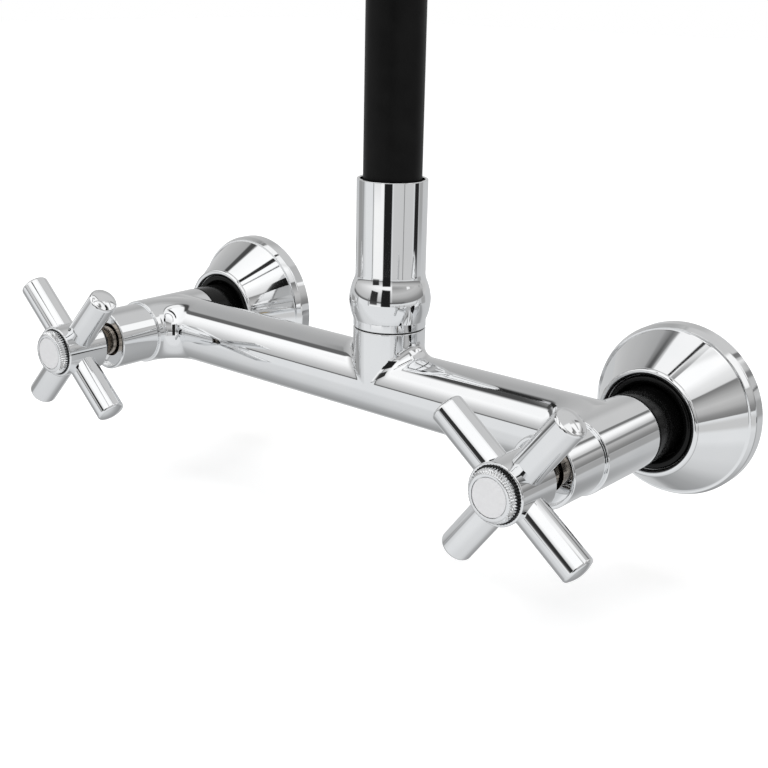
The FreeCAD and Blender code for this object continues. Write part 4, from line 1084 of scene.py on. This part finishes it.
# %% Floor and boards
FLOOR = [
    (-2.4, 0.75), (-1.8, 0.74), (-1.45, 0.72), (-1.2, 0.60), (-1.0, 0.57), (-0.6, 0.62),
    (-0.35, 0.68), (-0.1, 0.78), (0.2, 0.82), (0.6, 0.83), (0.95, 0.87),
]
FLOOR_SLANT = 0.6
FRONT_BOARD = [(-0.26, 0.95), (-0.17, 0.95), (-0.12, 0.75), (-0.04, 0.3), (0.08, 0.19), (0.33, 0.17)]
run = calc("SUBTRACT", calc("MULTIPLY", across, FLOOR_SLANT), depth)
room = painted(room, {
    "floor": (tones(run, FLOOR, -0.012), fade(up, 0.004, -0.008)),
    "grey door at the left": (tone(0.58), screen(-172, 12, -0.3, -0.08, 4.0)),
    "pale board at the right": (tone(0.77), screen(-11, 35, -0.26, -0.06, 3.0, 0.05)),
    "grey box behind": (tone(0.62), screen(57, 9, -0.2, 0.0, 3.0, 0.03)),
    "low white board": (tone(0.95), screen(-78, 9, -0.255, -0.12, 1.5, 0.015)),
    "front board": (tones(up, FRONT_BOARD), screen(-97, 11, -0.255, 0.35, 2.0, 0.01)),
    "tall black board": (tone(0.12), screen(-62, 13, -0.245, 0.45, 1.5, 0.015)),
    "black box behind": (tone(0.14), screen(36.5, 8.5, -0.215, -0.13, 1.5, 0.015)),
    "post at the left": (tone(0.5), screen(-112, 1.2, -0.25, 0.1, 1.0)),
    "post at the right": (tone(0.5), screen(-10, 1.2, -0.25, -0.1, 1.0)),
})

# %% [markdown]
# Light Path tells the world what asks: the camera gets plain white, a reflection gets the room,
# and the diffuse light is one even white, at which a colour renders about as it is written.

# %% Light of the world
EVEN_LIGHT = 0.75


def background(colour, strength=1.0):
    """An even or a painted background."""
    node = sky.nodes.new("ShaderNodeBackground")
    if isinstance(colour, tuple):
        node.inputs["Color"].default_value = (*colour, 1.0)
    else:
        sky.links.new(colour, node.inputs["Color"])
    node.inputs["Strength"].default_value = strength
    return node.outputs["Background"]


def chosen(flag, first, second):
    """The first shader where the flag is 0, and the second where it is 1."""
    node = sky.nodes.new("ShaderNodeMixShader")
    sky.links.new(flag, node.inputs["Fac"])
    sky.links.new(first, node.inputs[1])
    sky.links.new(second, node.inputs[2])
    return node.outputs["Shader"]


asks = sky.nodes.new("ShaderNodeLightPath")
reflects = calc("MAXIMUM", asks.outputs["Is Glossy Ray"], asks.outputs["Is Transmission Ray"])
light = chosen(reflects, background((1.0, 1.0, 1.0), EVEN_LIGHT), background(room))
light = chosen(asks.outputs["Is Camera Ray"], light, background((1.0, 1.0, 1.0)))
out = sky.nodes.new("ShaderNodeOutputWorld")
sky.links.new(light, out.inputs["Surface"])
print("world nodes:", len(sky.nodes))

# %% [markdown]
# The floor is a large pale sheet a little under the flanges. It stays out of reflections, where
# the world's own floor stands for it. For the camera it glows a little besides, so that it runs
# into the white background, and only the soft shadow stays darker.

# %% Floor
FLOOR_HALF = 4000
FLOOR_DROP = 60
FLOOR_GLOW = 0.3
bm = bmesh.new()
bmesh.ops.create_grid(bm, x_segments=1, y_segments=1, size=FLOOR_HALF)
bmesh.ops.translate(bm, vec=(0, 0, -FLOOR_DROP), verts=bm.verts)
floor_finish, tree, shader = new_finish("pale floor", (0.95, 0.95, 0.95), 0.0, 0.9)
tint(tree, shader, add_noise(tree, 3.0, 2.0), (0.945, 0.945, 0.945), (0.955, 0.955, 0.955))
seen = tree.nodes.new("ShaderNodeLightPath")
glow = tree.nodes.new("ShaderNodeEmission")
both = tree.nodes.new("ShaderNodeAddShader")
level = tree.nodes.new("ShaderNodeMath")
level.operation = "MULTIPLY"
level.inputs[1].default_value = FLOOR_GLOW
tree.links.new(seen.outputs["Is Camera Ray"], level.inputs[0])
tree.links.new(level.outputs["Value"], glow.inputs["Strength"])
tree.links.new(shader.outputs["BSDF"], both.inputs[0])
tree.links.new(glow.outputs["Emission"], both.inputs[1])
tree.links.new(both.outputs["Shader"], tree.nodes["Material Output"].inputs["Surface"])
floor = finished("floor", bm, floor_finish, even=False)
floor.visible_glossy = False
print("floor", FLOOR_DROP, "mm under the body's axis")

# %% [markdown]
# One wide lamp overhead gives the shadow its direction. Reflections don't show it, because the
# painted room already has its panels.

# %% Lamp
lamp = bpy.data.lights.new("overhead", "AREA")
lamp.shape = "RECTANGLE"
lamp.size = 1.2
lamp.size_y = 0.8
lamp.energy = 6.0
lamp_object = bpy.data.objects.new("overhead", lamp)
lamp_object.location = (0.0, -0.2, 1.1)
lamp_object.visible_glossy = False
bpy.context.scene.collection.objects.link(lamp_object)
print("lamp of", lamp.energy, "W")

# %% [markdown]
# ## Camera
# The photograph's camera was found by fitting the rims of the flanges, collars and hubs. It
# stands in front, to the right and a little above, with its lens square to the view.

# %% Camera
BACK = Vector((0.6154, -0.7278, 0.3026))
RIGHT = Vector((0.7593, 0.6504, 0.0200))
EYE = Vector((289.04, -376.85, 135.86)) * MM
LENS = 60.69
camera_data = bpy.data.cameras.new("view")
camera_data.lens = LENS
camera_data.sensor_width = 36.0
camera_data.clip_start = 0.01
camera = bpy.data.objects.new("view", camera_data)
upward = BACK.cross(RIGHT).normalized()
turn = Matrix((upward.cross(BACK).normalized(), upward, BACK.normalized())).transposed()
camera.matrix_world = Matrix.Translation(EYE) @ turn.to_4x4()
bpy.context.scene.collection.objects.link(camera)
bpy.context.scene.camera = camera
bpy.context.scene.view_settings.view_transform = "Standard"
print("camera at", tuple(round(v, 3) for v in EYE))
